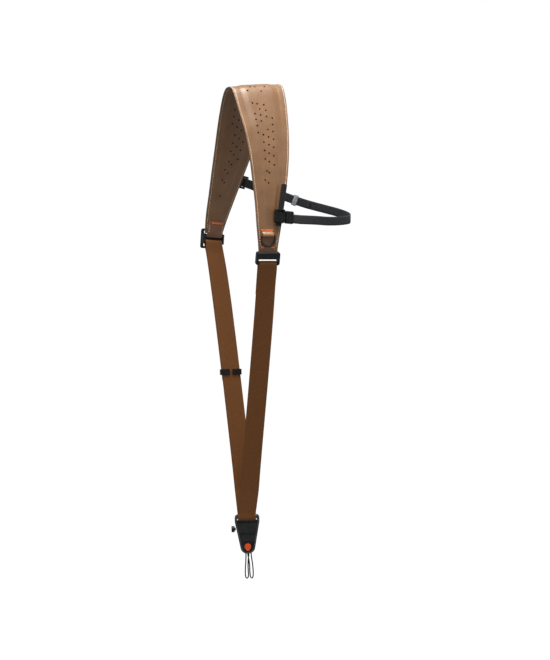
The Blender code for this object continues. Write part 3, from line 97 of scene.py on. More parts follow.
# The strap's two halves follow one table, from the crest to the connector's bar.
# drop: share of STRAP_DROP; spread: share of SPREAD; sway: share of SWAY
# front_turn, back_turn: how the width turns about Z, in degrees
# front_lean, back_lean: how far the +X edge hangs lower, in degrees
STRAP_COLUMNS = ("drop", "spread", "sway", "front_turn", "back_turn", "front_lean", "back_lean")
STRAP_ROWS = (
    (0.0000, 0.000, 0.00, 0.0, 0.0, -1.7, -1.7),
    (0.0042, 0.110, 0.01, 0.0, 0.0, -1.6, -1.6),
    (0.0202, 0.207, 0.03, -1.0, 0.0, -1.2, -1.2),
    (0.0524, 0.331, 0.06, -2.0, -1.0, 0.0, 0.5),
    (0.0960, 0.483, 0.11, -2.0, -2.0, 1.0, 2.0),
    (0.1484, 0.629, 0.22, -3.5, -2.0, 1.5, 3.5),
    (0.2008, 0.748, 0.40, -6.0, -1.0, 2.0, 5.0),
    (0.2532, 0.850, 0.61, -7.0, -1.0, 2.0, 6.5),
    (0.3056, 0.940, 0.84, -9.5, 0.0, 2.0, 7.0),
    (0.3491, 0.990, 0.99, -12.0, 1.0, 2.0, 7.0),
    (0.3670, 0.982, 1.00, -12.5, -1.0, 2.0, 7.0),
    (0.3876, 0.953, 0.96, -12.5, -3.0, 2.0, 6.0),
    (0.4278, 0.881, 0.90, -14.0, -8.0, 1.0, 4.0),
    (0.5064, 0.754, 0.81, -19.5, -13.5, 0.0, 2.0),
    (0.5937, 0.617, 0.74, -25.5, -16.0, 0.0, 1.0),
    (0.6984, 0.454, 0.67, -28.0, -18.0, 0.0, 0.5),
    (0.8040, 0.290, 0.61, -27.5, -24.0, 0.0, 0.0),
    (0.9118, 0.130, 0.55, -27.0, -27.0, -0.6, -0.6),
    (0.9637, 0.066, 0.53, -27.0, -27.0, -1.2, -1.2),
    (1.0000, 0.041, 0.52, -27.0, -27.0, -1.6, -1.6),
)
EVEN = 1.0
ODD = -1.0
COLUMN_PARITY = {"spread": ODD}

# Width of the pad. drop: share of PAD_FRONT_DROP; width: share of PAD_WIDTH
PAD_WIDTH_ROWS = (
    (0.00, 1.000), (0.06, 0.982), (0.15, 0.930), (0.27, 0.848), (0.41, 0.752),
    (0.56, 0.648), (0.70, 0.540), (0.85, 0.435), (0.94, 0.363), (1.00, 0.328),
)

# Punched holes. run: distance along the pad from the crest, as a
# share of HOLE_RUN; across: shares of the pad's width, in rows that slant a little
HOLE_RUN = 0.100
FRONT_SLANT = (0.00, 0.56)  # how much farther down a hole is towards +X: at the
BACK_SLANT = (0.35, 0.40)   # crest, and what it gains for each HOLE_RUN
FRONT_HOLES = (
    (0.084, (-0.15, -0.06, 0.13)), (0.150, (-0.23, 0.03)),
    (0.341, (-0.20, -0.11, 0.02)), (0.413, (-0.08, 0.04)),
    (0.500, (-0.20, -0.09, 0.03, 0.145)), (0.588, (-0.21, -0.10, 0.13)),
    (0.680, (-0.21, 0.01, 0.12)), (0.780, (-0.22, -0.11, 0.005, 0.115)),
    (0.885, (-0.12, -0.005, 0.105)), (1.000, (-0.13, -0.02, 0.095)),
    (1.115, (-0.13, -0.03, 0.10)), (1.260, (-0.10, -0.035)), (1.400, (-0.16, -0.06)),
)
BACK_HOLES = (
    (0.130, (-0.18, -0.03, 0.12)), (0.300, (-0.10, 0.05)), (0.484, (-0.22, -0.10, 0.03)),
    (0.584, (-0.21, -0.08, 0.05)), (0.690, (-0.21, -0.08, 0.036, 0.14)),
    (0.810, (-0.09, 0.033, 0.145)), (0.930, (-0.095, 0.022, 0.137)),
    (1.052, (-0.105, 0.00, 0.145)), (1.185, (-0.08, 0.01)), (1.330, (-0.145, -0.045)),
    (1.480, (-0.16, -0.08)), (1.680, (-0.12,)),
)

# The buckles' bars for leather and webbing, in each buckle's seat: up, out
LEATHER_BAR_RADIUS = 0.0014
WEB_BAR_RADIUS = 0.0015
FRONT_LEATHER_BAR = (0.0013, -0.0012)
FRONT_WEB_BAR = (-0.0090, 0.0010)
BACK_LEATHER_BAR = (0.0065, -0.0001)
BACK_WEB_BAR = (-0.0029, 0.0004)

# Connector, in its own frame: x across, y up, z to the front, origin on its bar
BAR_RADIUS = 0.0020
FRAME_FOOT = -0.0505

# Cord loops under the connector: routes in the connector's frame
CORD_RADIUS = 0.00085
CORD_STEPS = 54
# x across, y below the ring's foot, z to the front
LEFT_CORD = (
    (-0.0028, 0.0015, 0.0006), (-0.0029, -0.0036, 0.0009), (-0.0033, -0.0101, 0.0009),
    (-0.0039, -0.0174, 0.0006), (-0.0043, -0.0245, 0.0002), (-0.0044, -0.0296, 0.0),
    (-0.0038, -0.0331, 0.0), (-0.0023, -0.0345, 0.0), (-0.0008, -0.0331, 0.0),
    (-0.0002, -0.0296, -0.0002), (-0.0003, -0.0245, -0.0005), (-0.0004, -0.0174, -0.0009),
    (0.0000, -0.0101, -0.0012), (0.0008, -0.0036, -0.0013), (0.0014, 0.0015, -0.0010),
)
RIGHT_CORD = (
    (-0.0004, 0.0015, 0.0010), (0.0001, -0.0036, 0.0013), (0.0010, -0.0090, 0.0013),
    (0.0016, -0.0162, 0.0010), (0.0017, -0.0235, 0.0006), (0.0020, -0.0294, 0.0002),
    (0.0026, -0.0330, 0.0), (0.0041, -0.0345, 0.0), (0.0056, -0.0330, 0.0),
    (0.0062, -0.0294, 0.0), (0.0062, -0.0223, -0.0003), (0.0057, -0.0151, -0.0006),
    (0.0050, -0.0090, -0.0007), (0.0044, -0.0036, -0.0007), (0.0042, 0.0015, -0.0006),
)

# D-ring and its tab on the pad's front end
RING_WIRE = 0.0010
RING_WIDTH = 0.0205
RING_HEIGHT = 0.0157
RING_OVER_BUCKLE = 0.0262
RING_DROP = FRONT_BUCKLE_DROP - RING_OVER_BUCKLE
RING_ASIDE = -0.0021
RING_RESTS_IN = 8.0        # degrees that the ring leans in until it lies on the pad
RING_TAB_WIDTH = 0.0146    # at the ring's bar
RING_TAB_HEAD = 0.0160     # and at its upper end
RING_TAB_THICK = 0.0012
RING_TAB_RISE = 0.0043     # how far the tab reaches up from the ring's bar
RING_CORNER = 0.0020
RING_TAB_MIDDLE = (RING_TAB_HEAD + RING_TAB_WIDTH) / 2
# its inner layer: up, width; and the outer one, which comes down on it at the top:
# share of the height, thicknesses out, width
RING_TAB_INNER = ((RING_TAB_RISE - 0.0012, RING_TAB_HEAD), (RING_TAB_RISE * 0.45, RING_TAB_MIDDLE))
RING_TAB_OUTER = (
    (0.45, 2.10, RING_TAB_MIDDLE), (0.72, 1.60, RING_TAB_HEAD), (0.90, 1.25, RING_TAB_HEAD),
    (1.03, 0.70, RING_TAB_HEAD - 0.0006), (1.06, 0.20, RING_TAB_HEAD - 0.0014),
)

# Rails on the pad's margin, the side release on the front one, the slider on the back one
RAIL_OVER_RING = 0.0118    # the rails' lower end, above the ring's bar
RAIL_SPAN = 0.0515
RAIL_FOOT_DROP = RING_DROP - RAIL_OVER_RING
RAIL_TOP_DROP = RAIL_FOOT_DROP - RAIL_SPAN
RAIL_HEAD_THICK = 0.0020
RAIL_STEM_THICK = 0.0017
RAIL_INSET = 0.0052        # from the pad's edge to the rail's middle
RAIL_SEAT = 0.0006         # clearance under the straight rail
SOCKET_OVER_FOOT = 0.0115  # the release's middle, above the rail's lower end
SOCKET_DROP = RAIL_FOOT_DROP - SOCKET_OVER_FOOT
SOCKET_TURN = 7.0          # degrees that the release is turned on the rail, +X end up
SOCKET_OUT = 0.0056        # the release's reach towards +X from the rail's middle
SOCKET_TOP = 0.0046        # how far it stands over the rail's head
PLUG_LENGTH = 0.0118
PLUG_THICK = 0.0056
PLUG_SLOT_BELOW = 0.0020   # how much lower the strap sits than the release's middle
CARRIAGE_UNDER_TOP = 0.0030   # the slider's middle, below the rail's upper end
CARRIAGE_DROP = RAIL_TOP_DROP + CARRIAGE_UNDER_TOP
CARRIAGE_BAR_OUT = 0.0152  # from the rail's middle to the bar for the underarm strap
CARRIAGE_BAR_Z = 0.0040    # that bar's height over the rail's foot plane
CARRIAGE_BAR_RADIUS = 0.0012
RELEASE_OUT = RAIL_STEM_THICK + RAIL_HEAD_THICK + SOCKET_TOP
PLUG_OUT = RELEASE_OUT - 0.0006
PLUG_SLOT_Z = PLUG_OUT - PLUG_THICK / 2

# Underarm strap
ARM_WIDTH = 0.0115
ARM_THICK = 0.0014
# Route from the back carriage to the plug: out, along Y, drop; shares of ARM_REACH,
# SPREAD and STRAP_DROP
ARM_REACH = 0.141
ARM_ROUTE = (
    (0.326, 0.861, 0.2432), (0.440, 0.841, 0.2521), (0.560, 0.795, 0.2618),
    (0.688, 0.709, 0.2742), (0.801, 0.596, 0.2841), (0.901, 0.450, 0.2920),
    (0.972, 0.258, 0.2983), (1.000, 0.040, 0.3031), (0.975, -0.185, 0.3060),
    (0.904, -0.397, 0.3068), (0.801, -0.570, 0.3060), (0.670, -0.709, 0.3045),
    (0.518, -0.828, 0.3015), (0.362, -0.927, 0.2967),
)
ARM_SLIDER_OUT = 0.685     # where the slider sits, as a share of ARM_REACH
ARM_POINTS = 44            # steps along the route
ARM_TAIL_STEPS = 3         # steps that the tail runs on past the slider
ARM_START = 0.0050         # its route starts this far out from the carriage's bar
ARM_END = (0.0100, 0.0030, -0.0034)   # and runs straight into the plug: out from its end
ARM_TURN_STEPS = (10, 8)   # steps over which its width turns upright, and back at the plug
ARM_CLOSE_STEPS = 6        # steps over which its two layers' room closes before the plug

# The pad's surface: its grid, and where the margin's columns stand as shares of the margin
PAD_COLUMNS = 52
PAD_ROWS = 250
MARGIN_COLUMNS = (0.0, 0.05, 0.11, 0.17, 0.21, 0.24, 0.27, 0.33, 0.45, 0.60, 0.75, 0.86, 0.93, 0.97)
MARGIN_LIMIT = 0.6         # the margin's width is at most this share of the pad's half
SLOPE_LIMIT = 0.5          # and the slope's, of what is left
PAD_CROWN = 0.14           # share of the padding that rounds it over the whole width
EDGE_ROLL = 0.0011         # width of the edge that is rounded over
ROLL_SHARE = 0.55          # share of the thickness left at the edge itself
HOLE_SIDES = 12
PUNCH_LENGTH = 0.016

# Strips: spacing of their rows, and the share of the thickness left at their edges
BAND_STEP = 0.0012
TAB_STEP = 0.0008
RING_TAB_STEP = 0.0005
EDGE_SHARE = 0.62
CURVE_CUTS = 12            # pieces of each stretch of a curve

# Seams and stitches
SEAM_IN = 0.0024           # from the pad's edge
SEAM_DEEP = 0.00035        # how deep the thread pulls the leather in
FOOT_DEEP = 0.00014        # and how deep the leather sinks where the padding starts
SEAM_HALF = 0.0009
SEAM_OFF_END = 0.004       # bare length at the pad's ends
STITCH_PITCH = 0.0029
STITCH_LONG = 0.0019
STITCH_THREAD = 0.00085    # thicker than the real thread so that it shows
STITCH_PROUD = 0.45        # share of its thickness that stands out of the leather
TACK_PROUD = 0.75
TAB_ROWS = 5               # steps of an end tab along the pad
TAB_OVER_BAR = 0.0015      # its straight part ends this far above the buckle's bar
TAB_PITCH = 0.0026
TAB_SEAM_IN = 0.0018
TAB_SEAM_START = 6         # the seam's first row on an end tab
TAB_SEAM_END = 0.62        # and its last one, as a share of the tab's rows
TACK_PITCH = 0.00055
TACK_THREAD = 0.00060
TACK_LEAN = 0.18           # how far its threads lean, as a share of their height
TACK_HEIGHT = 0.0030
TACK_UNDER_TOP = 0.0022    # from an end tab's upper edge
TAB_TACK_SHARE = 0.68      # its width, as a share of the tab's
THREAD_OVER = 0.0002       # how far the ring's tacks stand over the pad's face
# tacks of the ring's tab: name, aside, up, width, height
RING_TACKS = (
    ("ring_tab_tack", 0.0, RING_TAB_RISE + 0.0021, RING_TAB_HEAD * 0.95, 0.0034),
    ("ring_tack_right", 0.0068, -0.0150, 0.0040, TACK_HEIGHT),
    ("ring_tack_left", -0.0072, -0.0150, 0.0024, TACK_HEIGHT),
)

# Meshes: angles in degrees
SHARP_TURN = 34.0          # moulded edges that are rounded off are sharper than this
FLAT_TURN = 1.5            # faces that meet flatter than this become one
PUNCH_TURN = 50.0          # edges of the leather that are sharper than this stay sharp
MERGE_WITHIN = 2e-6
TUBE_ROUNDING = 3          # steps of a wire's or cord's quarter

# Weave and braid, a little coarser than the real ones so that they show
WEAVE_RIB = 0.0018
WEAVE_PICK = 0.0016
BRAID_PITCH = 0.0016
BRAID_STRANDS = 4          # strands that cross round the cord

# The view of the photograph
VIEW_AZIMUTH = -29.0
VIEW_ELEVATION = 8.925
VIEW_DISTANCE = 2.290
VIEW_HEIGHT = -0.2972
VIEW_LENS = 94.6
VIEW_SHIFT = (0.0314, -0.0217)

# The studio. Lights: name, place, target, size in metres, power in watts
FLOOR_RADIUS = 9.0
FLOOR_HEIGHT = -0.80
BACKDROP_HEIGHT = 6.0
FLOOR_GLOW = 0.98
WORLD_STRENGTH = 0.38
LIGHTS = (
    ("softbox overhead", (-0.06, -0.16, 0.62), (0.0, 0.0, -0.05), 0.45, 13.0),
    ("softbox left", (-1.60, -1.30, 0.35), (0.0, 0.0, -0.25), 0.9, 3.0),
    ("softbox right", (1.50, -0.70, 0.25), (0.0, 0.0, -0.15), 0.8, 4.0),
)


# Reading the strap's table

def slopes(xs, ys):
    """Slope of a smooth curve at each row."""
    made = [(ys[1] - ys[0]) / (xs[1] - xs[0])]
    for before, after in zip(range(len(xs) - 2), range(2, len(xs))):
        made.append((ys[after] - ys[before]) / (xs[after] - xs[before]))
    made.append((ys[-1] - ys[-2]) / (xs[-1] - xs[-2]))
    return made


def smooth_column(xs, ys, parity=EVEN):
    """Return a smooth function through rows that start at the crest."""
    mirrored_x = [-xs[1]] + list(xs)
    mirrored_y = [parity * ys[1]] + list(ys)
    slope = slopes(mirrored_x, mirrored_y)

    def value(x):
        x = min(max(x, xs[0]), xs[-1])
        i = 1
        while i < len(mirrored_x) - 2 and x > mirrored_x[i + 1]:
            i += 1
        step = mirrored_x[i + 1] - mirrored_x[i]
        t = (x - mirrored_x[i]) / step
        return (
            mirrored_y[i] * (2 * t**3 - 3 * t**2 + 1)
            + mirrored_y[i + 1] * (3 * t**2 - 2 * t**3)
            + slope[i] * step * (t**3 - 2 * t**2 + t)
            + slope[i + 1] * step * (t**3 - t**2)
        )

    return value


def strap_runs():
    """Distance along the strap from the crest to each row."""
    runs = [0.0]
    for upper, lower in zip(STRAP_ROWS, STRAP_ROWS[1:]):
        down = (lower[0] - upper[0]) * STRAP_DROP
        apart = (lower[1] - upper[1]) * SPREAD
        runs.append(runs[-1] + hypot(down, apart))
    return runs


RUNS = strap_runs()
STRAP = {
    name: smooth_column(RUNS, [row[i] for row in STRAP_ROWS], COLUMN_PARITY.get(name, EVEN))
    for i, name in enumerate(STRAP_COLUMNS)
}
PAD_SHARE = smooth_column([row[0] for row in PAD_WIDTH_ROWS], [row[1] for row in PAD_WIDTH_ROWS])
PAD_UNDER = PAD_EDGE / 2 + PAD_INNER_RISE
FRONT = -1.0
BACK = 1.0


def run_at(drop):
    """Distance along the strap to a height below the crest."""
    low, high = 0.0, RUNS[-1]
    for _ in range(40):
        middle = (low + high) / 2
        if STRAP["drop"](middle) * STRAP_DROP < drop:
            low = middle
        else:
            high = middle
    return (low + high) / 2


def middle_line(side, run):
    """Point on the strap's middle line, and the direction of its width."""
    name = "front" if side < 0 else "back"
    turn = radians(STRAP[name + "_turn"](run))
    lean = radians(STRAP[name + "_lean"](run))
    point = Vector((
        -SWAY * STRAP["sway"](run),
        side * SPREAD * STRAP["spread"](run),
        PAD_UNDER - STRAP_DROP * STRAP["drop"](run),
    ))
    across = Vector((cos(turn) * cos(lean), sin(turn) * cos(lean), -sin(lean)))
    return point, across


def strap_frame(side, run):
    """Point, width direction and outward direction of the strap."""
    point, across = middle_line(side, run)
    step = 0.002
    above = middle_line(side, max(run - step, 0.0))[0]
    below = middle_line(side, run + step)[0]
    forward = (below - above) * side
    outward = across.cross(forward).normalized()
    return point, across, outward


def spot(side, drop, aside=0.0, lift=0.0):
    """Point beside and over the strap's middle surface at a height."""
    point, across, outward = strap_frame(side, run_at(drop))
    return point + across * aside + outward * lift


def frame_matrix(point, up, outward):
    """Right-handed frame with y up along a piece and z away from the wearer."""
    z = outward.normalized()
    y = (up - z * up.dot(z)).normalized()
    x = y.cross(z)
    return Matrix((
        (x.x, y.x, z.x, point.x),
        (x.y, y.y, z.y, point.y),
        (x.z, y.z, z.z, point.z),
        (0.0, 0.0, 0.0, 1.0),
    ))


def seat(side, drop):
    """Frame of a rigid piece that sits on the strap."""
    point, across, outward = strap_frame(side, run_at(drop))
    up = outward.cross(across) * (1.0 if side < 0 else -1.0)
    return frame_matrix(point, up, outward)


def arc(centre, radius, start, end, count):
    """Points of an arc in a plane, in degrees from +x towards +y."""
    made = []
    for i in range(count + 1):
        angle = radians(start + (end - start) * i / count)
        made.append((centre[0] + radius * cos(angle), centre[1] + radius * sin(angle)))
    return made


def within(value):
    """A share, held between 0 and 1."""
    return min(max(value, 0.0), 1.0)


def eased(share):
    """A share that starts and ends softly."""
    return share * share * (3 - 2 * share)


def lengths_along(points):
    """Distance from the first point of a line to each of its points."""
    runs = [0.0]
    for one, two in zip(points, points[1:]):
        runs.append(runs[-1] + (two - one).length)
    return runs


def leg_at(runs, wanted):
    """Which stretch of a line holds a distance, and the share of it that is reached."""
    k = min(int(np.searchsorted(runs, wanted, side="right")) - 1, len(runs) - 2)
    return k, (wanted - runs[k]) / (runs[k + 1] - runs[k])


def curve_point(points, i, t):
    """Point of a smooth curve through a list of points, at a share of its stretch i."""
    a = points[max(i - 1, 0)]
    b = points[i]
    c = points[i + 1]
    d = points[min(i + 2, len(points) - 1)]
    return 0.5 * (
        2 * b + (c - a) * t + (2 * a - 5 * b + 4 * c - d) * t**2 + (3 * b - a - 3 * c + d) * t**3
    )


def smooth_route(points, count):
    """Points spaced evenly along a smooth curve through a list of points."""
    dense = []
    for i in range(len(points) - 1):
        dense += [curve_point(points, i, k / CURVE_CUTS) for k in range(CURVE_CUTS)]
    dense.append(points[-1])
    runs = lengths_along(dense)
    made = []
    for i in range(count + 1):
        k, share = leg_at(runs, runs[-1] * i / count)
        made.append(dense[k].lerp(dense[k + 1], share))
    return made


def pad_width(run):
    """Width of the pad at a distance from its crest."""
    drop = STRAP["drop"](run) * STRAP_DROP
    return PAD_WIDTH * PAD_SHARE(drop / PAD_FRONT_DROP)


def fold(matrix, bar, radius, start, end, count):
    """Points on an arc round a bar that lies across a seat; angles from out to up."""
    return [matrix @ Vector((0.0, up, out)) for out, up in arc((bar[1], bar[0]), radius, start, end, count)]


def leg_points(side, rows):
    """Points of the webbing along one side of the strap, from rows of drop and lift."""
    made = []
    for drop, lift in rows:
        point, across, outward = strap_frame(side, run_at(drop))
        made.append((point + outward * lift, across, WEB_WIDTH))
    return made


def spaced(shares, start, end):
    """Heights between two heights, from a list of shares."""
    return [start + (end - start) * share for share in shares]


def connector_across():
    """Direction of the connector's bar."""
    return middle_line(FRONT, RUNS[-1])[1]


def connector_matrix():
    """Frame of the connector: on its bar, y up, z to the front."""
    front = middle_line(FRONT, RUNS[-1])[0]
    back = middle_line(BACK, RUNS[-1])[0]
    across = connector_across()
    outward = across.cross(Vector((0.0, 0.0, 1.0)))
    return frame_matrix((front + back) / 2, outward.cross(across), outward)


def ring_seat():
    """Frame of the D-ring's seat, in the middle of its tab."""
    return seat(FRONT, RING_DROP) @ Matrix.Translation((RING_ASIDE, 0.0, 0.0))


def ring_axis_out():
    """Height of the ring's bar over the pad's middle surface."""
    under = PAD_EDGE / 2 + GAP + RING_TAB_THICK / 2
    return under + RING_WIRE + GAP + RING_TAB_THICK / 2


def rail_frame(side):
    """Frame on the middle of a rail's foot plane, y up along the rail, z outwards."""
    ends = []
    for drop in (RAIL_TOP_DROP, RAIL_FOOT_DROP):
        half = pad_width(run_at(drop)) / 2
        ends.append(spot(side, drop, half - RAIL_INSET, PAD_EDGE / 2 + RAIL_SEAT))
    middle = strap_frame(side, run_at((RAIL_TOP_DROP + RAIL_FOOT_DROP) / 2))
    up = ends[0] - ends[1]
    return frame_matrix((ends[0] + ends[1]) / 2, up, middle[2]), up.length


def rail_height(side, drop):
    """Place along a rail, from its middle, of a height below the crest."""
    matrix, _ = rail_frame(side)
    half = pad_width(run_at(drop)) / 2
    return (matrix.inverted() @ spot(side, drop, half - RAIL_INSET)).y


def toward_arm(side):
    """Sign of +X in a rail's frame."""
    return 1.0 if side < 0 else -1.0


def socket_frame():
    """Frame of the side release: on the front rail, turned so that it hangs level."""
    matrix, _ = rail_frame(FRONT)
    middle = Matrix.Translation((0.0, rail_height(FRONT, SOCKET_DROP), 0.0))
    return matrix @ middle @ Matrix.Rotation(radians(SOCKET_TURN), 4, "Z")


def arm_route():
    """Middle line of the underarm strap from the carriage's bar to the plug's slot."""
    matrix, _ = rail_frame(BACK)
    out = toward_arm(BACK) * (CARRIAGE_BAR_OUT + ARM_START)
    points = [matrix @ Vector((out, rail_height(BACK, CARRIAGE_DROP), CARRIAGE_BAR_Z))]
    for out, along, drop in ARM_ROUTE:
        points.append(Vector((out * ARM_REACH, along * SPREAD, PAD_UNDER - drop * STRAP_DROP)))
    level = socket_frame()
    for out in ARM_END:
        x = SOCKET_OUT + GAP + PLUG_LENGTH + out
        points.append(level @ Vector((x, -PLUG_SLOT_BELOW, PLUG_SLOT_Z)))
    return smooth_route(points, ARM_POINTS)


def arm_frames():
    """Point, width direction and outward direction along the underarm strap."""
    route = arm_route()
    upright = Vector((0.0, 0.0, 1.0))
    back_up = rail_frame(BACK)[0].to_3x3() @ Vector((0.0, 1.0, 0.0))
    front_up = socket_frame().to_3x3() @ Vector((0.0, 1.0, 0.0))
    last = len(route) - 1
    made = []
    for i, point in enumerate(route):
        along = (route[min(i + 1, last)] - route[max(i - 1, 0)]).normalized()
        up = upright.lerp(back_up, within(1.0 - i / ARM_TURN_STEPS[0]))
        up = up.lerp(front_up, within(1.0 - (last - 1 - i) / ARM_TURN_STEPS[1]))
        up = (up - along * up.dot(along)).normalized()
        made.append((point, up, up.cross(along)))
    return made


# The camera and the light

def aim(made, target):
    """Turn an object's -Z to a point."""
    made.rotation_euler = (Vector(target) - made.location).to_track_quat("-Z", "Y").to_euler()


def add_camera():
    """Camera at the photograph's angle and distance."""
    lens = bpy.data.cameras.new("camera")
    lens.lens = VIEW_LENS
    lens.sensor_width = 36.0
    lens.shift_x, lens.shift_y = VIEW_SHIFT
    lens.clip_start = 0.01
    made = bpy.data.objects.new("camera", lens)
    scene.collection.objects.link(made)
    turn = radians(VIEW_AZIMUTH)
    rise = radians(VIEW_ELEVATION)
    target = Vector((0.0, 0.0, VIEW_HEIGHT))
    away = Vector((sin(turn) * cos(rise), -cos(turn) * cos(rise), sin(rise)))
    made.location = target + away * VIEW_DISTANCE
    aim(made, target)
    scene.camera = made


def add_light(name, place_at, target, size, power):
    """Square soft light."""
    lamp = bpy.data.lights.new(name, "AREA")
    lamp.size = size
    lamp.energy = power
    made = bpy.data.objects.new(name, lamp)
    made.location = place_at
    scene.collection.objects.link(made)
    aim(made, target)


def add_studio():
    """Pale floor and backdrop in one glowing white bowl, dim surroundings and soft lights."""
    bm = bmesh.new()
    bmesh.ops.create_circle(bm, cap_ends=True, segments=64, radius=FLOOR_RADIUS)
    rim = [e for e in bm.edges if e.is_boundary]
    raised = bmesh.ops.extrude_edge_only(bm, edges=rim)["geom"]
    tops = [v for v in raised if isinstance(v, bmesh.types.BMVert)]
    bmesh.ops.translate(bm, vec=(0.0, 0.0, BACKDROP_HEIGHT), verts=tops)
    bmesh.ops.translate(bm, vec=(0.0, 0.0, FLOOR_HEIGHT), verts=bm.verts)
    mesh = bpy.data.meshes.new("studio_floor")
    bm.to_mesh(mesh)
    bm.free()
    floor = bpy.data.objects.new("studio_floor", mesh)
    scene.collection.objects.link(floor)
    paint, shader = new_surface("white studio floor", 0.9)
    shader.inputs["Base Color"].default_value = tone("#404040")
    shader.inputs["Emission Color"].default_value = tone("#FFFFFF")
    shader.inputs["Emission Strength"].default_value = FLOOR_GLOW
    mesh.materials.append(paint)
    # its glow whitens the picture but lights nothing
    floor.visible_diffuse = False
    floor.visible_glossy = False
    world = bpy.data.worlds.new("white surroundings")
    world.use_nodes = True
    back = world.node_tree.nodes["Background"]
    back.inputs["Color"].default_value = tone("#FFFFFF")
    back.inputs["Strength"].default_value = WORLD_STRENGTH
    scene.world = world
    for row in LIGHTS:
        add_light(*row)


# Surfaces

def tone(code):
    """Linear colour of an sRGB hex value."""
    shares = [int(code[i:i + 2], 16) / 255 for i in (1, 3, 5)]
    return (*[s / 12.92 if s <= 0.04045 else ((s + 0.055) / 1.055) ** 2.4 for s in shares], 1.0)


def new_surface(name, roughness, ior=1.5):
    """Material and its shader, from typical values."""
    made = bpy.data.materials.new(name)
    made.use_nodes = True
    shader = made.node_tree.nodes["Principled BSDF"]
    shader.inputs["Roughness"].default_value = roughness
    shader.inputs["IOR"].default_value = ior
    return made, shader


def add_node(made, kind, inputs=None, **settings):
    """Node with its settings; an input is a value or another node's output."""
    tree = made.node_tree
    node = tree.nodes.new(kind)
    for key, value in settings.items():
        setattr(node, key, value)
    for key, value in (inputs or {}).items():
        if isinstance(value, bpy.types.NodeSocket):
            tree.links.new(value, node.inputs[key])
        else:
            node.inputs[key].default_value = value
    return node


def connect(made, source, socket):
    """Link an output to one of the shader's inputs."""
    made.node_tree.links.new(source, made.node_tree.nodes["Principled BSDF"].inputs[socket])


def finish_surface(made, factor, stops, height, depth, strength, gloss=None):
    """Colour and relief of a surface, and its gloss where that varies.

    The colour runs through hex values as a factor goes from 0 to 1, the relief's depth is in
    metres, and gloss is a factor with the lowest and the highest roughness."""
    node = add_node(made, "ShaderNodeValToRGB", {"Fac": factor})
    ramp = node.color_ramp
    while len(ramp.elements) < len(stops):
        ramp.elements.new(0.5)
    for element, (place_at, code) in zip(ramp.elements, stops):
        element.position = place_at
        element.color = tone(code)
    connect(made, node.outputs["Color"], "Base Color")
    node = add_node(made, "ShaderNodeBump", {"Height": height, "Distance": depth, "Strength": strength})
    connect(made, node.outputs["Normal"], "Normal")
    if gloss:
        span = {"Value": gloss[0], "To Min": gloss[1], "To Max": gloss[2]}
        connect(made, add_node(made, "ShaderNodeMapRange", span).outputs[0], "Roughness")


def crossed_waves(made, one, two):
    """Height of two sets of waves that cross, from their phases: 0 to 1."""
    waves = []
    for phase in (one, two):
        waves.append(add_node(made, "ShaderNodeMath", {0: phase}, operation="SINE").outputs[0])
    product = add_node(made, "ShaderNodeMath", {0: waves[0], 1: waves[1]}, operation="MULTIPLY")
    raised = {0: product.outputs[0], 1: 0.5, 2: 0.5}
    return add_node(made, "ShaderNodeMath", raised, operation="MULTIPLY_ADD").outputs[0]


def blended(made, main, share, other, other_share):
    """Sum of two patterns by their shares."""
    part = add_node(made, "ShaderNodeMath", {0: main, 1: share}, operation="MULTIPLY").outputs[0]
    both = {0: other, 1: other_share, 2: part}
    return add_node(made, "ShaderNodeMath", both, operation="MULTIPLY_ADD").outputs[0]


def leather_surface(name, stops, roughness):
    """Waxed full-grain cowhide: warm and mottled, with fine pebbled grain that breaks the shine."""
    made, shader = new_surface(name, roughness, ior=1.48)
    shader.inputs["Sheen Weight"].default_value = 0.10
    shader.inputs["Sheen Roughness"].default_value = 0.45
    shader.inputs["Sheen Tint"].default_value = tone("#EADCCB")
    # the wax finish
    shader.inputs["Coat Weight"].default_value = 0.55
    shader.inputs["Coat Roughness"].default_value = 0.38
    where = add_node(made, "ShaderNodeTexCoord").outputs["Object"]
    # mottling of about 18 mm and fine marks of about 2.4 mm
    spots = {"Vector": where, "Scale": 55.0, "Detail": 4.0, "Roughness": 0.6}
    cloud = add_node(made, "ShaderNodeTexNoise", spots).outputs["Fac"]
    marks = {"Vector": where, "Scale": 420.0, "Detail": 3.0}
    fine = add_node(made, "ShaderNodeTexNoise", marks).outputs["Fac"]
    mixed = blended(made, cloud, 0.7, fine, 0.3)
    # grain of about 1.1 mm, a little coarser than the real one so that it shows
    cells = {"Vector": where, "Scale": 900.0, "Randomness": 0.9}
    grain = add_node(made, "ShaderNodeTexVoronoi", cells).outputs["Distance"]
    pebbled = {0: fine, 1: 0.8, 2: grain}
    pebble = add_node(made, "ShaderNodeMath", pebbled, operation="MULTIPLY_ADD").outputs[0]
    gloss = (cloud, roughness - 0.08, roughness + 0.12)
    finish_surface(made, mixed, stops, pebble, 0.00016, 0.55, gloss)
    return made


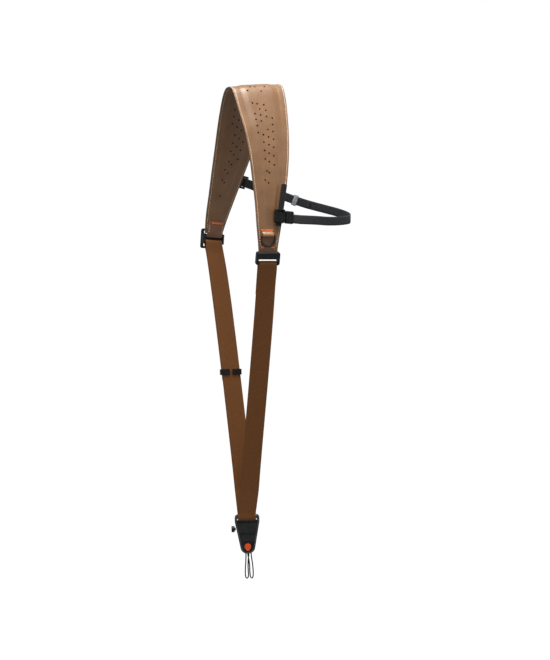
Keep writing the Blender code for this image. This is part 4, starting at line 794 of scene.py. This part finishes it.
def weave_surface(name, stops, roughness, sheen):
    """Woven polyester webbing: ribs along its length crossed by picks, with a soft sheen."""
    made, shader = new_surface(name, roughness, ior=1.35)
    shader.inputs["Sheen Weight"].default_value = sheen
    shader.inputs["Sheen Roughness"].default_value = 0.5
    shader.inputs["Sheen Tint"].default_value = tone("#FFFFFF")
    where = add_node(made, "ShaderNodeUVMap", uv_map="UVMap").outputs["UV"]
    split = add_node(made, "ShaderNodeSeparateXYZ", {"Vector": where})
    phases = []
    for axis, period in (("X", WEAVE_RIB), ("Y", WEAVE_PICK)):
        turns = {0: split.outputs[axis], 1: 2 * pi / period}
        phases.append(add_node(made, "ShaderNodeMath", turns, operation="MULTIPLY").outputs[0])
    height = crossed_waves(made, *phases)
    # single threads of about 0.4 mm, ten times as long as they are wide
    drawn = add_node(made, "ShaderNodeMapping", {"Vector": where, "Scale": (2600.0, 260.0, 1.0)})
    threads = {"Vector": drawn.outputs[0], "Scale": 1.0, "Detail": 3.0}
    thread = add_node(made, "ShaderNodeTexNoise", threads).outputs["Fac"]
    mixed = blended(made, thread, 0.55, height, 0.45)
    finish_surface(made, mixed, stops, mixed, 0.00030, 0.6)
    return made


def moulded_surface(name, stops, roughness, texture=0.00006):
    """Injection-moulded plastic with a fine spark-eroded skin."""
    made, _ = new_surface(name, roughness, ior=1.4)
    where = add_node(made, "ShaderNodeTexCoord").outputs["Object"]
    # skin of about 0.5 mm, coarser than the real one so that it shows
    pits = {"Vector": where, "Scale": 2200.0, "Detail": 2.0}
    skin = add_node(made, "ShaderNodeTexNoise", pits).outputs["Fac"]
    spots = {"Vector": where, "Scale": 160.0, "Detail": 3.0}
    cloud = add_node(made, "ShaderNodeTexNoise", spots).outputs["Fac"]
    gloss = (cloud, roughness - 0.06, roughness + 0.10)
    finish_surface(made, cloud, stops, skin, texture, 0.5, gloss)
    return made


def thread_surface(name, stops):
    """Bonded polyester sewing thread: two twisted plies with a soft gloss."""
    made, _ = new_surface(name, 0.5)
    where = add_node(made, "ShaderNodeTexCoord").outputs["Object"]
    twist = {"Vector": where, "Scale": 1800.0, "Detail": 2.0}
    plies = add_node(made, "ShaderNodeTexNoise", twist).outputs["Fac"]
    finish_surface(made, plies, stops, plies, 0.00008, 0.5)
    return made


def braid_surface(name, stops):
    """Braided polyester cord: strands that cross as they run round it."""
    made, _ = new_surface(name, 0.6)
    where = add_node(made, "ShaderNodeUVMap", uv_map="UVMap").outputs["UV"]
    split = add_node(made, "ShaderNodeSeparateXYZ", {"Vector": where})
    phases = []
    for axis, factor in (("Y", 2 * pi / BRAID_PITCH), ("X", 2 * pi * BRAID_STRANDS)):
        turns = {0: split.outputs[axis], 1: factor}
        phases.append(add_node(made, "ShaderNodeMath", turns, operation="MULTIPLY").outputs[0])
    ways = []
    for operation in ("ADD", "SUBTRACT"):
        both = {0: phases[0], 1: phases[1]}
        ways.append(add_node(made, "ShaderNodeMath", both, operation=operation).outputs[0])
    height = crossed_waves(made, *ways)
    finish_surface(made, height, stops, height, 0.0002, 0.7)
    return made


# Making pieces

def add_piece(name, bm, surfaces, body, replaced=(), slot=None):
    """Turn a bmesh into a piece that rides on a body."""
    mesh = bpy.data.meshes.new(name)
    bm.to_mesh(mesh)
    bm.free()
    made = bpy.data.objects.new(name, mesh)
    scene.collection.objects.link(made)
    for surface in surfaces:
        mesh.materials.append(surface)
    mesh.shade_smooth()
    if replaced:
        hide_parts(*replaced)
    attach(made, body)
    return made


def evaluated_mesh(made):
    """Mesh of an object as its modifiers or its bevel leave it."""
    bpy.context.view_layer.update()
    return bpy.data.meshes.new_from_object(made.evaluated_get(bpy.context.evaluated_depsgraph_get()))


def slab(columns, rows, place_point, measure, rim=0):
    """Closed slab from a grid.

    place_point gives a point from column, row and layer (0 under, 1 outer); measure gives its
    metres across and along for the weave. The side walls get surface number rim."""
    bm = bmesh.new()
    chart = bm.loops.layers.uv.new("UVMap")
    bmesh.ops.create_grid(bm, x_segments=columns, y_segments=rows, size=0.5)
    under = bm.faces[:]
    index = bm.verts.layers.int.new("row")
    level = bm.verts.layers.int.new("layer")
    for vert in bm.verts:
        vert[index] = round((vert.co.y + 0.5) * rows)
        vert[level] = 0
    raised = bmesh.ops.extrude_face_region(bm, geom=under, use_keep_orig=True)["geom"]
    for item in raised:
        if isinstance(item, bmesh.types.BMVert):
            item[level] = 1
    for face in bm.faces:
        if len({v[level] for v in face.verts}) > 1:
            face.material_index = rim
        for loop in face.loops:
            column = round((loop.vert.co.x + 0.5) * columns)
            loop[chart].uv = measure(column, loop.vert[index])
    for vert in bm.verts:
        vert.co = place_point(round((vert.co.x + 0.5) * columns), vert[index], vert[level])
    bmesh.ops.recalc_face_normals(bm, faces=bm.faces[:])
    return bm


def band(name, path, thick, surface, replaced, slot, columns=10, step=BAND_STEP):
    """Flat strip with thin edges along a path of (point, width direction, width).

    Returns its rows and their outward directions, for the seams that follow it."""
    points = [row[0] for row in path]
    dense = []
    for i, (one, two) in enumerate(zip(path, path[1:])):
        cuts = max(int((two[0] - one[0]).length / step), 1)
        for k in range(cuts):
            t = k / cuts
            across = one[1].lerp(two[1], t).normalized()
            dense.append((curve_point(points, i, t), across, one[2] + (two[2] - one[2]) * eased(t)))
    dense.append(path[-1])
    rows = len(dense) - 1
    runs = lengths_along([row[0] for row in dense])
    ups = []
    for i, (_, across, _) in enumerate(dense):
        along = dense[min(i + 1, rows)][0] - dense[max(i - 1, 0)][0]
        ups.append(across.cross(along).normalized())

    def place_point(column, row, layer):
        point, across, width = dense[row]
        aside = (column / columns * 2 - 1) * width / 2
        at_edge = column in (0, columns)
        half = thick / 2 * (EDGE_SHARE if at_edge else 1.0)
        return point + across * aside + ups[row] * (half if layer else -half)

    def measure(column, row):
        return ((column / columns - 0.5) * dense[row][2], runs[row])

    bm = slab(columns, rows, place_point, measure)
    add_piece(name, bm, [surface], "strap", (replaced,), slot)
    return dense, ups


def add_stitches(name, rows, thread, long=STITCH_LONG, thick=STITCH_THREAD, proud=STITCH_PROUD):
    """Short stitches, one for each (point, direction, normal)."""
    bm = bmesh.new()
    for point, along, out in rows:
        side = along.cross(out).normalized()
        up = side.cross(along).normalized()
        made = bmesh.ops.create_uvsphere(bm, u_segments=6, v_segments=4, radius=0.5)["verts"]
        centre = point + up * thick * (proud - 0.5)
        turn = Matrix((
            (side.x * thick, up.x * thick, along.x * long, centre.x),
            (side.y * thick, up.y * thick, along.y * long, centre.y),
            (side.z * thick, up.z * thick, along.z * long, centre.z),
            (0.0, 0.0, 0.0, 1.0),
        ))
        bmesh.ops.transform(bm, matrix=turn, verts=made)
    bmesh.ops.recalc_face_normals(bm, faces=bm.faces[:])
    add_piece(name, bm, [thread], "strap")


def seam(line, pitch):
    """Stitches spaced evenly along a line of (point, normal)."""
    runs = lengths_along([row[0] for row in line])
    count = max(int(runs[-1] / pitch), 1)
    made = []
    for i in range(count):
        k, share = leg_at(runs, (i + 0.5) * runs[-1] / count)
        one, two = line[k], line[k + 1]
        made.append((one[0].lerp(two[0], share), (two[0] - one[0]).normalized(), one[1].lerp(two[1], share)))
    return made


def add_tack(name, centre, across, out, width, height):
    """Bar tack: close threads side by side that lean to and fro."""
    up = out.cross(across).normalized()
    count = int(width / TACK_PITCH)
    rows = []
    for i in range(count + 1):
        point = centre + across * (i / count - 0.5) * width
        lean = TACK_LEAN if i % 2 else -TACK_LEAN
        rows.append((point, (up + across * lean).normalized(), out))
    add_stitches(name, rows, ORANGE_THREAD, long=height, thick=TACK_THREAD, proud=TACK_PROUD)


def refined(node, surface, body, slot, round_off):
    """Copy of a solid with its edges rounded off and its round faces smooth."""
    bm = bmesh.new()
    bm.from_mesh(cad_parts[node].data)
    bmesh.ops.remove_doubles(bm, verts=bm.verts, dist=MERGE_WITHIN)
    bmesh.ops.dissolve_limit(
        bm, angle_limit=radians(FLAT_TURN), use_dissolve_boundaries=False, verts=bm.verts[:],
        edges=bm.edges[:], delimit=set(),
    )
    sharp = [
        e for e in bm.edges
        if len(e.link_faces) == 2 and e.calc_face_angle(0.0) > radians(SHARP_TURN)
    ]
    bmesh.ops.bevel(
        bm, geom=sharp, offset=round_off, offset_type="OFFSET", segments=2, profile=0.5,
        affect="EDGES", clamp_overlap=True, material=-1,
    )
    made = add_piece(node + "_skin", bm, [surface], body, (node,), slot)
    modifier = made.modifiers.new("flat faces stay flat", "WEIGHTED_NORMAL")
    modifier.keep_sharp = True
    return made


# The shoulder pad

def pad_margin(half):
    """Width of the flat margin where the pad is this wide."""
    return min(PAD_MARGIN, MARGIN_LIMIT * half)


def pad_aside(column, half):
    """Place across the pad of a column, with the margin's columns closer together."""
    middle = PAD_COLUMNS // 2
    side = -1.0 if column <= middle else 1.0
    from_edge = column if column <= middle else PAD_COLUMNS - column
    count = len(MARGIN_COLUMNS)
    margin = pad_margin(half)
    if from_edge < count:
        return side * (half - MARGIN_COLUMNS[from_edge] * margin)
    share = (from_edge - count + 1) / (middle - count + 1)
    return side * (half - margin) * (1 - share)


def pad_rise(aside, half, fade, layer):
    """Height of the padded face over the middle surface."""
    margin = pad_margin(half)
    start = half - margin
    share = within((start - abs(aside)) / min(PAD_SLOPE, SLOPE_LIMIT * start))
    bulge = eased(share) * (1 - PAD_CROWN + PAD_CROWN * (1 - (aside / half) ** 2))
    rise = PAD_OUTER_RISE if layer else PAD_INNER_RISE
    from_edge = half - abs(aside)
    height = PAD_EDGE / 2 + rise * bulge * fade
    if from_edge < EDGE_ROLL:
        height *= ROLL_SHARE + (1 - ROLL_SHARE) * (1 - (1 - from_edge / EDGE_ROLL) ** 2) ** 0.5
    # thread pulls the leather down along the seam and where the padding starts
    for centre, deep in ((SEAM_IN, SEAM_DEEP), (margin, FOOT_DEEP * fade)):
        height -= deep * max(1 - abs(from_edge - centre) / SEAM_HALF, 0.0)
    return height


def make_pad():
    """Leather pad with its padding, seams and punched holes."""
    ends = {FRONT: run_at(PAD_FRONT_DROP), BACK: run_at(PAD_BACK_DROP)}
    total = ends[FRONT] + ends[BACK]
    frames = []
    for row in range(PAD_ROWS + 1):
        run = row / PAD_ROWS * total - ends[FRONT]
        side = FRONT if run < 0 else BACK
        run = abs(run)
        point, across, outward = strap_frame(side, run)
        fade = eased(within((ends[side] - PAD_FADE - run) / PAD_FADE))
        frames.append((point, across, outward, pad_width(run) / 2, fade, ends[side] - run))

    def place_point(column, row, layer):
        point, across, outward, half, fade, _ = frames[row]
        aside = pad_aside(column, half)
        height = pad_rise(aside, half, fade, layer)
        return point + across * aside + outward * (height if layer else -height)

    def measure(column, row):
        half = frames[row][3]
        return (pad_aside(column, half), row / PAD_ROWS * total)

    bm = slab(PAD_COLUMNS, PAD_ROWS, place_point, measure, rim=1)
    punch = bmesh.new()
    for side, rows, slant in ((FRONT, FRONT_HOLES, FRONT_SLANT), (BACK, BACK_HOLES, BACK_SLANT)):
        for run_share, places in rows:
            for share in places:
                aside = share * pad_width(run_share * HOLE_RUN)
                run = run_share * HOLE_RUN + aside * (slant[0] + slant[1] * run_share)
                point, across, outward = strap_frame(side, run)
                turn = outward.to_track_quat("Z", "Y").to_matrix().to_4x4()
                bmesh.ops.create_cone(
                    punch, cap_ends=True, segments=HOLE_SIDES, radius1=HOLE_RADIUS, radius2=HOLE_RADIUS,
                    depth=PUNCH_LENGTH, matrix=Matrix.Translation(point + across * aside) @ turn,
                )
    tool_mesh = bpy.data.meshes.new("punches")
    punch.to_mesh(tool_mesh)
    punch.free()
    # the holes' walls take the near-black painted shade
    tool_mesh.materials.append(CUT_EDGE_PAINTED_SHADE)
    tool = bpy.data.objects.new("punches", tool_mesh)
    scene.collection.objects.link(tool)
    pad = add_piece("pad_leather", bm, [TAN_LEATHER, CUT_EDGE_PAINTED_SHADE], "strap", ("shoulder_pad",), "leather")
    modifier = pad.modifiers.new("punch", "BOOLEAN")
    modifier.operation = "DIFFERENCE"
    modifier.solver = "EXACT"
    modifier.material_mode = "TRANSFER"
    modifier.object = tool
    punched = evaluated_mesh(pad)
    pad.modifiers.clear()
    pad.data = punched
    bpy.data.objects.remove(tool)
    punched.shade_smooth()
    punched.set_sharp_from_angle(angle=radians(PUNCH_TURN))
    for layer, word in ((1, "outer"), (0, "inner")):
        rows = []
        for edge in (-1.0, 1.0):
            line = []
            for row in range(0, PAD_ROWS + 1, 2):
                point, across, outward, half, _, from_end = frames[row]
                if from_end < SEAM_OFF_END:
                    continue
                out = outward if layer else -outward
                lift = out * (PAD_EDGE / 2 - SEAM_DEEP)
                line.append((point + across * edge * (half - SEAM_IN) + lift, out))
            rows += seam(line, STITCH_PITCH)
        add_stitches("pad_stitches_" + word, rows, TAN_THREAD)


# Leather tabs

def make_end_tab(name, side, drop, bar, rise):
    """Leather tab sewn on the pad's inner face and folded round a buckle's bar."""
    matrix = seat(side, drop)
    radius = LEATHER_BAR_RADIUS + GAP + LEATHER_THICK / 2
    flat_lift = -(PAD_EDGE / 2 + TAB_GAP + LEATHER_THICK / 2)
    lift = flat_lift - PAD_INNER_RISE
    pad_end = PAD_FRONT_DROP if side < 0 else PAD_BACK_DROP
    start_run = run_at(drop - rise)
    end_run = run_at(min(pad_end, drop - bar[0] - TAB_OVER_BAR))
    path = []
    for i in range(TAB_ROWS + 1):
        run = start_run + (end_run - start_run) * i / TAB_ROWS
        point, across, outward = strap_frame(side, run)
        fade = within((run_at(pad_end) - PAD_FADE - run) / PAD_FADE)
        path.append((point + outward * (flat_lift + (lift - flat_lift) * fade), across, END_TAB_WIDTH))
    across = strap_frame(side, run_at(drop))[1]
    for point in fold(matrix, bar, radius, 185, 375, 8):
        path.append((point, across, END_TAB_WIDTH))
    dense, ups = band(name + "_leather", path, LEATHER_THICK, TAB_LEATHER, name, "leather", step=TAB_STEP)
    face = -1.0 if ups[2].dot(strap_frame(side, start_run)[2]) > 0 else 1.0
    rows = []
    for edge in (-1.0, 1.0):
        line = []
        for i in range(TAB_SEAM_START, int(TAB_SEAM_END * len(dense))):
            point, across, width = dense[i]
            out = ups[i] * face
            line.append((point + across * edge * (width / 2 - TAB_SEAM_IN) + out * LEATHER_THICK / 2, out))
        rows += [(point, along, ups[2] * face) for point, along, _ in seam(line, TAB_PITCH)]
    add_stitches(name + "_stitches", rows, TAN_THREAD)
    point, across, outward = strap_frame(side, start_run + TACK_UNDER_TOP)
    centre = point + outward * (lift - LEATHER_THICK / 2)
    add_tack(name + "_tack", centre, across, -outward, END_TAB_WIDTH * TAB_TACK_SHARE, TACK_HEIGHT)


# Webbing

def between(one, two):
    """Rows of a strip on the straight way from one row to another."""
    made = []
    for share in STRAIGHT_SHARES:
        width = one[2] + (two[2] - one[2]) * share
        made.append((one[0].lerp(two[0], share), one[1].lerp(two[1], share), width))
    return made


def make_webbing():
    """One band: front return, front leg, bight under the connector's bar, back leg, tail."""
    fold_radius = WEB_BAR_RADIUS + GAP + WEB_THICK / 2
    layer = WEB_THICK + GAP
    returned = spaced(FRONT_RETURN, FRONT_BUCKLE_DROP, RETURN_END_DROP)
    front_leg = spaced(FRONT_LEG, RETURN_END_DROP, STRAP_DROP)
    tail = spaced(BACK_TAIL, BACK_BUCKLE_DROP, TAIL_END_DROP)
    back_leg = spaced(BACK_LEG, TAIL_END_DROP, STRAP_DROP)
    path = leg_points(FRONT, [(drop, -layer) for drop in returned])
    front = seat(FRONT, FRONT_BUCKLE_DROP)
    across = strap_frame(FRONT, run_at(FRONT_BUCKLE_DROP))[1]
    path += [(p, across, FOLD_WIDTH) for p in fold(front, FRONT_WEB_BAR, fold_radius, 190, -10, 8)]
    path += leg_points(FRONT, reversed(list(zip(returned, OFF_BAR))))
    path += leg_points(FRONT, [(drop, 0.0) for drop in front_leg])
    bar = connector_matrix()
    bight = BAR_RADIUS + GAP + WEB_THICK / 2
    across = connector_across()
    up, out = BESIDE_BAR
    reached = (bar @ Vector((0.0, up, out)), across, FOLD_WIDTH)
    path += between(path[-1], reached) + [reached]
    for out, up in arc((0.0, 0.0), bight, 5, -185, 10):
        path.append((bar @ Vector((0.0, up, out)), across, FOLD_WIDTH))
    reached = (bar @ Vector((0.0, up, -out)), across, FOLD_WIDTH)
    started = leg_points(BACK, [(back_leg[-1], -layer / 4)])
    path += [reached] + between(reached, started[0]) + started
    path += leg_points(BACK, [(drop, -layer / 2) for drop in reversed(back_leg[:-1])])
    path += leg_points(BACK, [(TAIL_END_DROP, -layer / 2)])
    path += leg_points(BACK, [(drop, -layer / 2) for drop in reversed(tail[1:])])
    back = seat(BACK, BACK_BUCKLE_DROP)
    across = strap_frame(BACK, run_at(BACK_BUCKLE_DROP))[1]
    path += [(p, across, FOLD_WIDTH) for p in fold(back, BACK_WEB_BAR, fold_radius, 190, -20, 8)]
    path += leg_points(BACK, zip(tail, OFF_SLIDER))
    path += leg_points(BACK, [(drop, layer / 2) for drop in tail[len(OFF_SLIDER):]])
    path += leg_points(BACK, [(TAIL_END_DROP, layer / 2)])
    band("brown_webbing", path, WEB_THICK, BROWN_WEBBING, "main_webbing", "webbing", columns=12)


# D-ring and its tab

def make_ring():
    """Coated steel D-ring, its folded tab and the bar tacks that hold them."""
    matrix = ring_seat()
    axis_out = ring_axis_out()
    lifted = matrix @ Matrix.Translation((0.0, 0.0, axis_out))
    resting = lifted @ Matrix.Rotation(radians(RING_RESTS_IN), 4, "X")
    half = RING_WIDTH / 2 - RING_WIRE
    foot = -(RING_HEIGHT - 2 * RING_WIRE)
    corner = RING_CORNER
    outline = [(0.0, 0.0), (corner - half, 0.0)]
    outline += arc((corner - half, -corner), corner, 120, 180, 4)
    outline += arc((0.0, foot + half), half, 180, 360, 28)
    outline += arc((half - corner, -corner), corner, 0, 60, 4)
    outline.append((half - corner, 0.0))
    points = [resting @ Vector((x, y, 0.0)) for x, y in outline]
    tube("steel_ring", points, RING_WIRE, BLACK_STEEL, "ring", "d_ring", "ring_metal", closed=True)
    radius = RING_WIRE + GAP + RING_TAB_THICK / 2
    low = axis_out - radius
    layer = RING_TAB_THICK + GAP
    across = strap_frame(FRONT, run_at(RING_DROP))[1]
    inner = [(matrix @ Vector((0.0, up, low)), across, width) for up, width in RING_TAB_INNER]
    folded = [(p, across, RING_TAB_WIDTH) for p in fold(matrix, (0.0, axis_out), radius, -178, 12, 8)]
    path = inner + folded
    for share, layers, width in RING_TAB_OUTER:
        path.append((matrix @ Vector((0.0, RING_TAB_RISE * share, low + layers * layer)), across, width))
    band("ring_tab_leather", path, RING_TAB_THICK, RING_LEATHER, "d_ring_tab", "leather", step=RING_TAB_STEP)
    outward = (matrix.to_3x3() @ Vector((0.0, 0.0, 1.0))).normalized()
    for name, aside, up, width, height in RING_TACKS:
        point = matrix @ Vector((aside, up, PAD_EDGE / 2 + THREAD_OVER))
        add_tack(name, point, across, outward, width, height)


def tube(name, points, radius, surface, body, replaced, slot, closed=False):
    """Round wire or cord as a mesh, its chart in turns across and metres along."""
    curve = bpy.data.curves.new(name, "CURVE")
    curve.dimensions = "3D"
    curve.bevel_depth = radius
    curve.bevel_resolution = TUBE_ROUNDING
    curve.use_fill_caps = not closed
    spline = curve.splines.new("POLY")
    spline.points.add(len(points) - 1)
    for point, place_at in zip(spline.points, points):
        point.co = (*place_at, 1.0)
    spline.use_cyclic_u = closed
    line = bpy.data.objects.new(name + "_line", curve)
    scene.collection.objects.link(line)
    mesh = evaluated_mesh(line)
    bpy.data.objects.remove(line)
    long = lengths_along(points)[-1]
    bm = bmesh.new()
    bm.from_mesh(mesh)
    chart = bm.loops.layers.uv.active
    if chart:
        for face in bm.faces:
            for loop in face.loops:
                one, two = loop[chart].uv
                loop[chart].uv = (two, one * long)
    bmesh.ops.remove_doubles(bm, verts=bm.verts, dist=MERGE_WITHIN)
    bmesh.ops.recalc_face_normals(bm, faces=bm.faces[:])
    return add_piece(name, bm, [surface], body, (replaced,), slot)


def make_cords():
    """Two thin braided loops that hang from the connector's foot."""
    matrix = connector_matrix()
    for name, route in (("left", LEFT_CORD), ("right", RIGHT_CORD)):
        line = [matrix @ Vector((x, FRAME_FOOT + y, z)) for x, y, z in route]
        points = smooth_route(line, CORD_STEPS)
        replaced = name + "_cord_loop"
        made = tube(name + "_cord", points, CORD_RADIUS, GREY_CORD, "connector", replaced, "cord")
        lengths_along(points)[-1]


# The underarm strap

def make_underarm():
    """Black band round the carriage's bar, through its slider, to the plug."""
    frames = arm_frames()
    last = len(frames) - 1
    slider_out = ARM_SLIDER_OUT * ARM_REACH
    slider_index = min(range(last // 2), key=lambda i: abs(frames[i][0].x - slider_out))
    layer = ARM_THICK + GAP
    matrix, _ = rail_frame(BACK)
    arm = toward_arm(BACK)
    bar = Vector((arm * CARRIAGE_BAR_OUT, rail_height(BACK, CARRIAGE_DROP), CARRIAGE_BAR_Z))
    rail_up = matrix.to_3x3() @ Vector((0.0, 1.0, 0.0))
    radius = CARRIAGE_BAR_RADIUS + GAP + ARM_THICK / 2
    path = []
    for point, up, out in reversed(frames[1:slider_index + ARM_TAIL_STEPS + 1]):
        path.append((point - out * layer / 2, up, ARM_WIDTH))
    hand = 1.0 if (matrix.to_3x3() @ Vector((0.0, 0.0, 1.0))).dot(frames[1][2]) > 0 else -1.0
    for out, up in arc((0.0, 0.0), radius, -50, -310, 8):
        path.append((matrix @ (bar + Vector((arm * out, 0.0, hand * up))), rail_up, ARM_WIDTH))
    for i, (point, up, out) in enumerate(frames[1:], 1):
        share = within((last - 2 - i) / ARM_CLOSE_STEPS)
        path.append((point + out * layer / 2 * share, up, ARM_WIDTH))
    band("black_webbing", path, ARM_THICK, BLACK_WEBBING, "underarm_strap", "underarm_webbing", columns=8)


def make_fittings():
    """Moulded pieces: the solids with their edges rounded off."""
    for node, surface, body, slot, round_off in FITTINGS:
        refined(node, surface, body, slot, round_off)


# The surfaces

TAN_LEATHER = leather_surface(
    "waxed tan cowhide", ((0.30, "#694728"), (0.50, "#73502E"), (0.72, "#7E5A36")), 0.46,
)
TAB_LEATHER = leather_surface(
    "tan strap leather", ((0.30, "#6A4529"), (0.50, "#785033"), (0.72, "#865C3D")), 0.55,
)
RING_LEATHER = leather_surface(
    "tab leather, burnished", ((0.30, "#79512F"), (0.50, "#8A5F39"), (0.72, "#9B6F46")), 0.36,
)
# near black, far darker than cut leather is: painted shade for the hollows of the punched holes, on the
# pad's side walls as well
CUT_EDGE_PAINTED_SHADE = leather_surface(
    "cut leather edge, painted shade", ((0.30, "#120A06"), (0.50, "#1B100A"), (0.72, "#2A1A10")), 0.85,
)
BROWN_WEBBING = weave_surface(
    "brown polyester webbing", ((0.25, "#5F3818"), (0.50, "#794A22"), (0.75, "#8E5D31")), 0.72, 0.04,
)
BLACK_WEBBING = weave_surface(
    "black polyester webbing", ((0.25, "#141516"), (0.50, "#232427"), (0.75, "#38393D")), 0.75, 0.03,
)
BLACK_PLASTIC = moulded_surface("black acetal", ((0.35, "#0E0F10"), (0.65, "#17181A")), 0.42)
RELEASE_PLASTIC = moulded_surface(
    "glossy black acetal", ((0.35, "#0A0B0C"), (0.65, "#121314")), 0.20, 0.00002,
)
# the connector's frame is mid grey, lighter than its near-black plastic: partly its own grey, partly a
# painted highlight for the gloss along its edges
FRAME_GREY_PAINTED_HIGHLIGHT = moulded_surface("grey nylon, partly painted highlight", ((0.35, "#36373A"), (0.65, "#505256")), 0.34)
CORE_PLASTIC = moulded_surface("dark grey nylon", ((0.35, "#1C1D1F"), (0.65, "#28292B")), 0.5)
SLIDER_PLASTIC = moulded_surface("grey acetal", ((0.35, "#7C7E82"), (0.65, "#A2A4A8")), 0.45)
ORANGE_PLASTIC = moulded_surface("orange acetal", ((0.35, "#EE4A16"), (0.65, "#FF6630")), 0.38)
TAN_THREAD = thread_surface("tan sewing thread", ((0.35, "#D9B898"), (0.65, "#FBE8D2")))
ORANGE_THREAD = thread_surface("orange tack thread", ((0.35, "#C8622E"), (0.65, "#F08A52")))
GREY_CORD = braid_surface("dark grey braided cord", ((0.20, "#0A0A0B"), (0.80, "#242527")))
BLACK_STEEL = moulded_surface("black coated steel", ((0.35, "#0D0E0F"), (0.65, "#191A1C")), 0.28, 0.00002)

FITTINGS = (
    ("front_buckle", BLACK_PLASTIC, "strap", "black_plastic", 0.00035),
    ("back_buckle", BLACK_PLASTIC, "strap", "black_plastic", 0.00035),
    ("strap_keeper", BLACK_PLASTIC, "strap", "black_plastic", 0.00030),
    ("connector_frame", FRAME_GREY_PAINTED_HIGHLIGHT, "connector", "black_plastic", 0.00040),
    ("connector_core", CORE_PLASTIC, "connector", "grey_plastic", 0.00040),
    ("release_button", ORANGE_PLASTIC, "button", "orange_plastic", 0.00060),
    ("side_knob", BLACK_PLASTIC, "connector", "black_plastic", 0.00050),
    ("front_rail", BLACK_PLASTIC, "strap", "black_plastic", 0.00030),
    ("back_rail", BLACK_PLASTIC, "strap", "black_plastic", 0.00030),
    ("release_socket", RELEASE_PLASTIC, "strap", "black_plastic", 0.00035),
    ("release_plug", RELEASE_PLASTIC, "strap", "black_plastic", 0.00035),
    ("back_carriage", BLACK_PLASTIC, "strap", "black_plastic", 0.00035),
    ("underarm_slider", SLIDER_PLASTIC, "strap", "grey_plastic", 0.00030),
)

add_camera()
add_studio()
make_cords()
make_pad()
make_end_tab("front_end_tab", FRONT, FRONT_BUCKLE_DROP, FRONT_LEATHER_BAR, FRONT_TAB_RISE)
make_end_tab("back_end_tab", BACK, BACK_BUCKLE_DROP, BACK_LEATHER_BAR, BACK_TAB_RISE)
make_webbing()
make_ring()
make_underarm()
make_fittings()
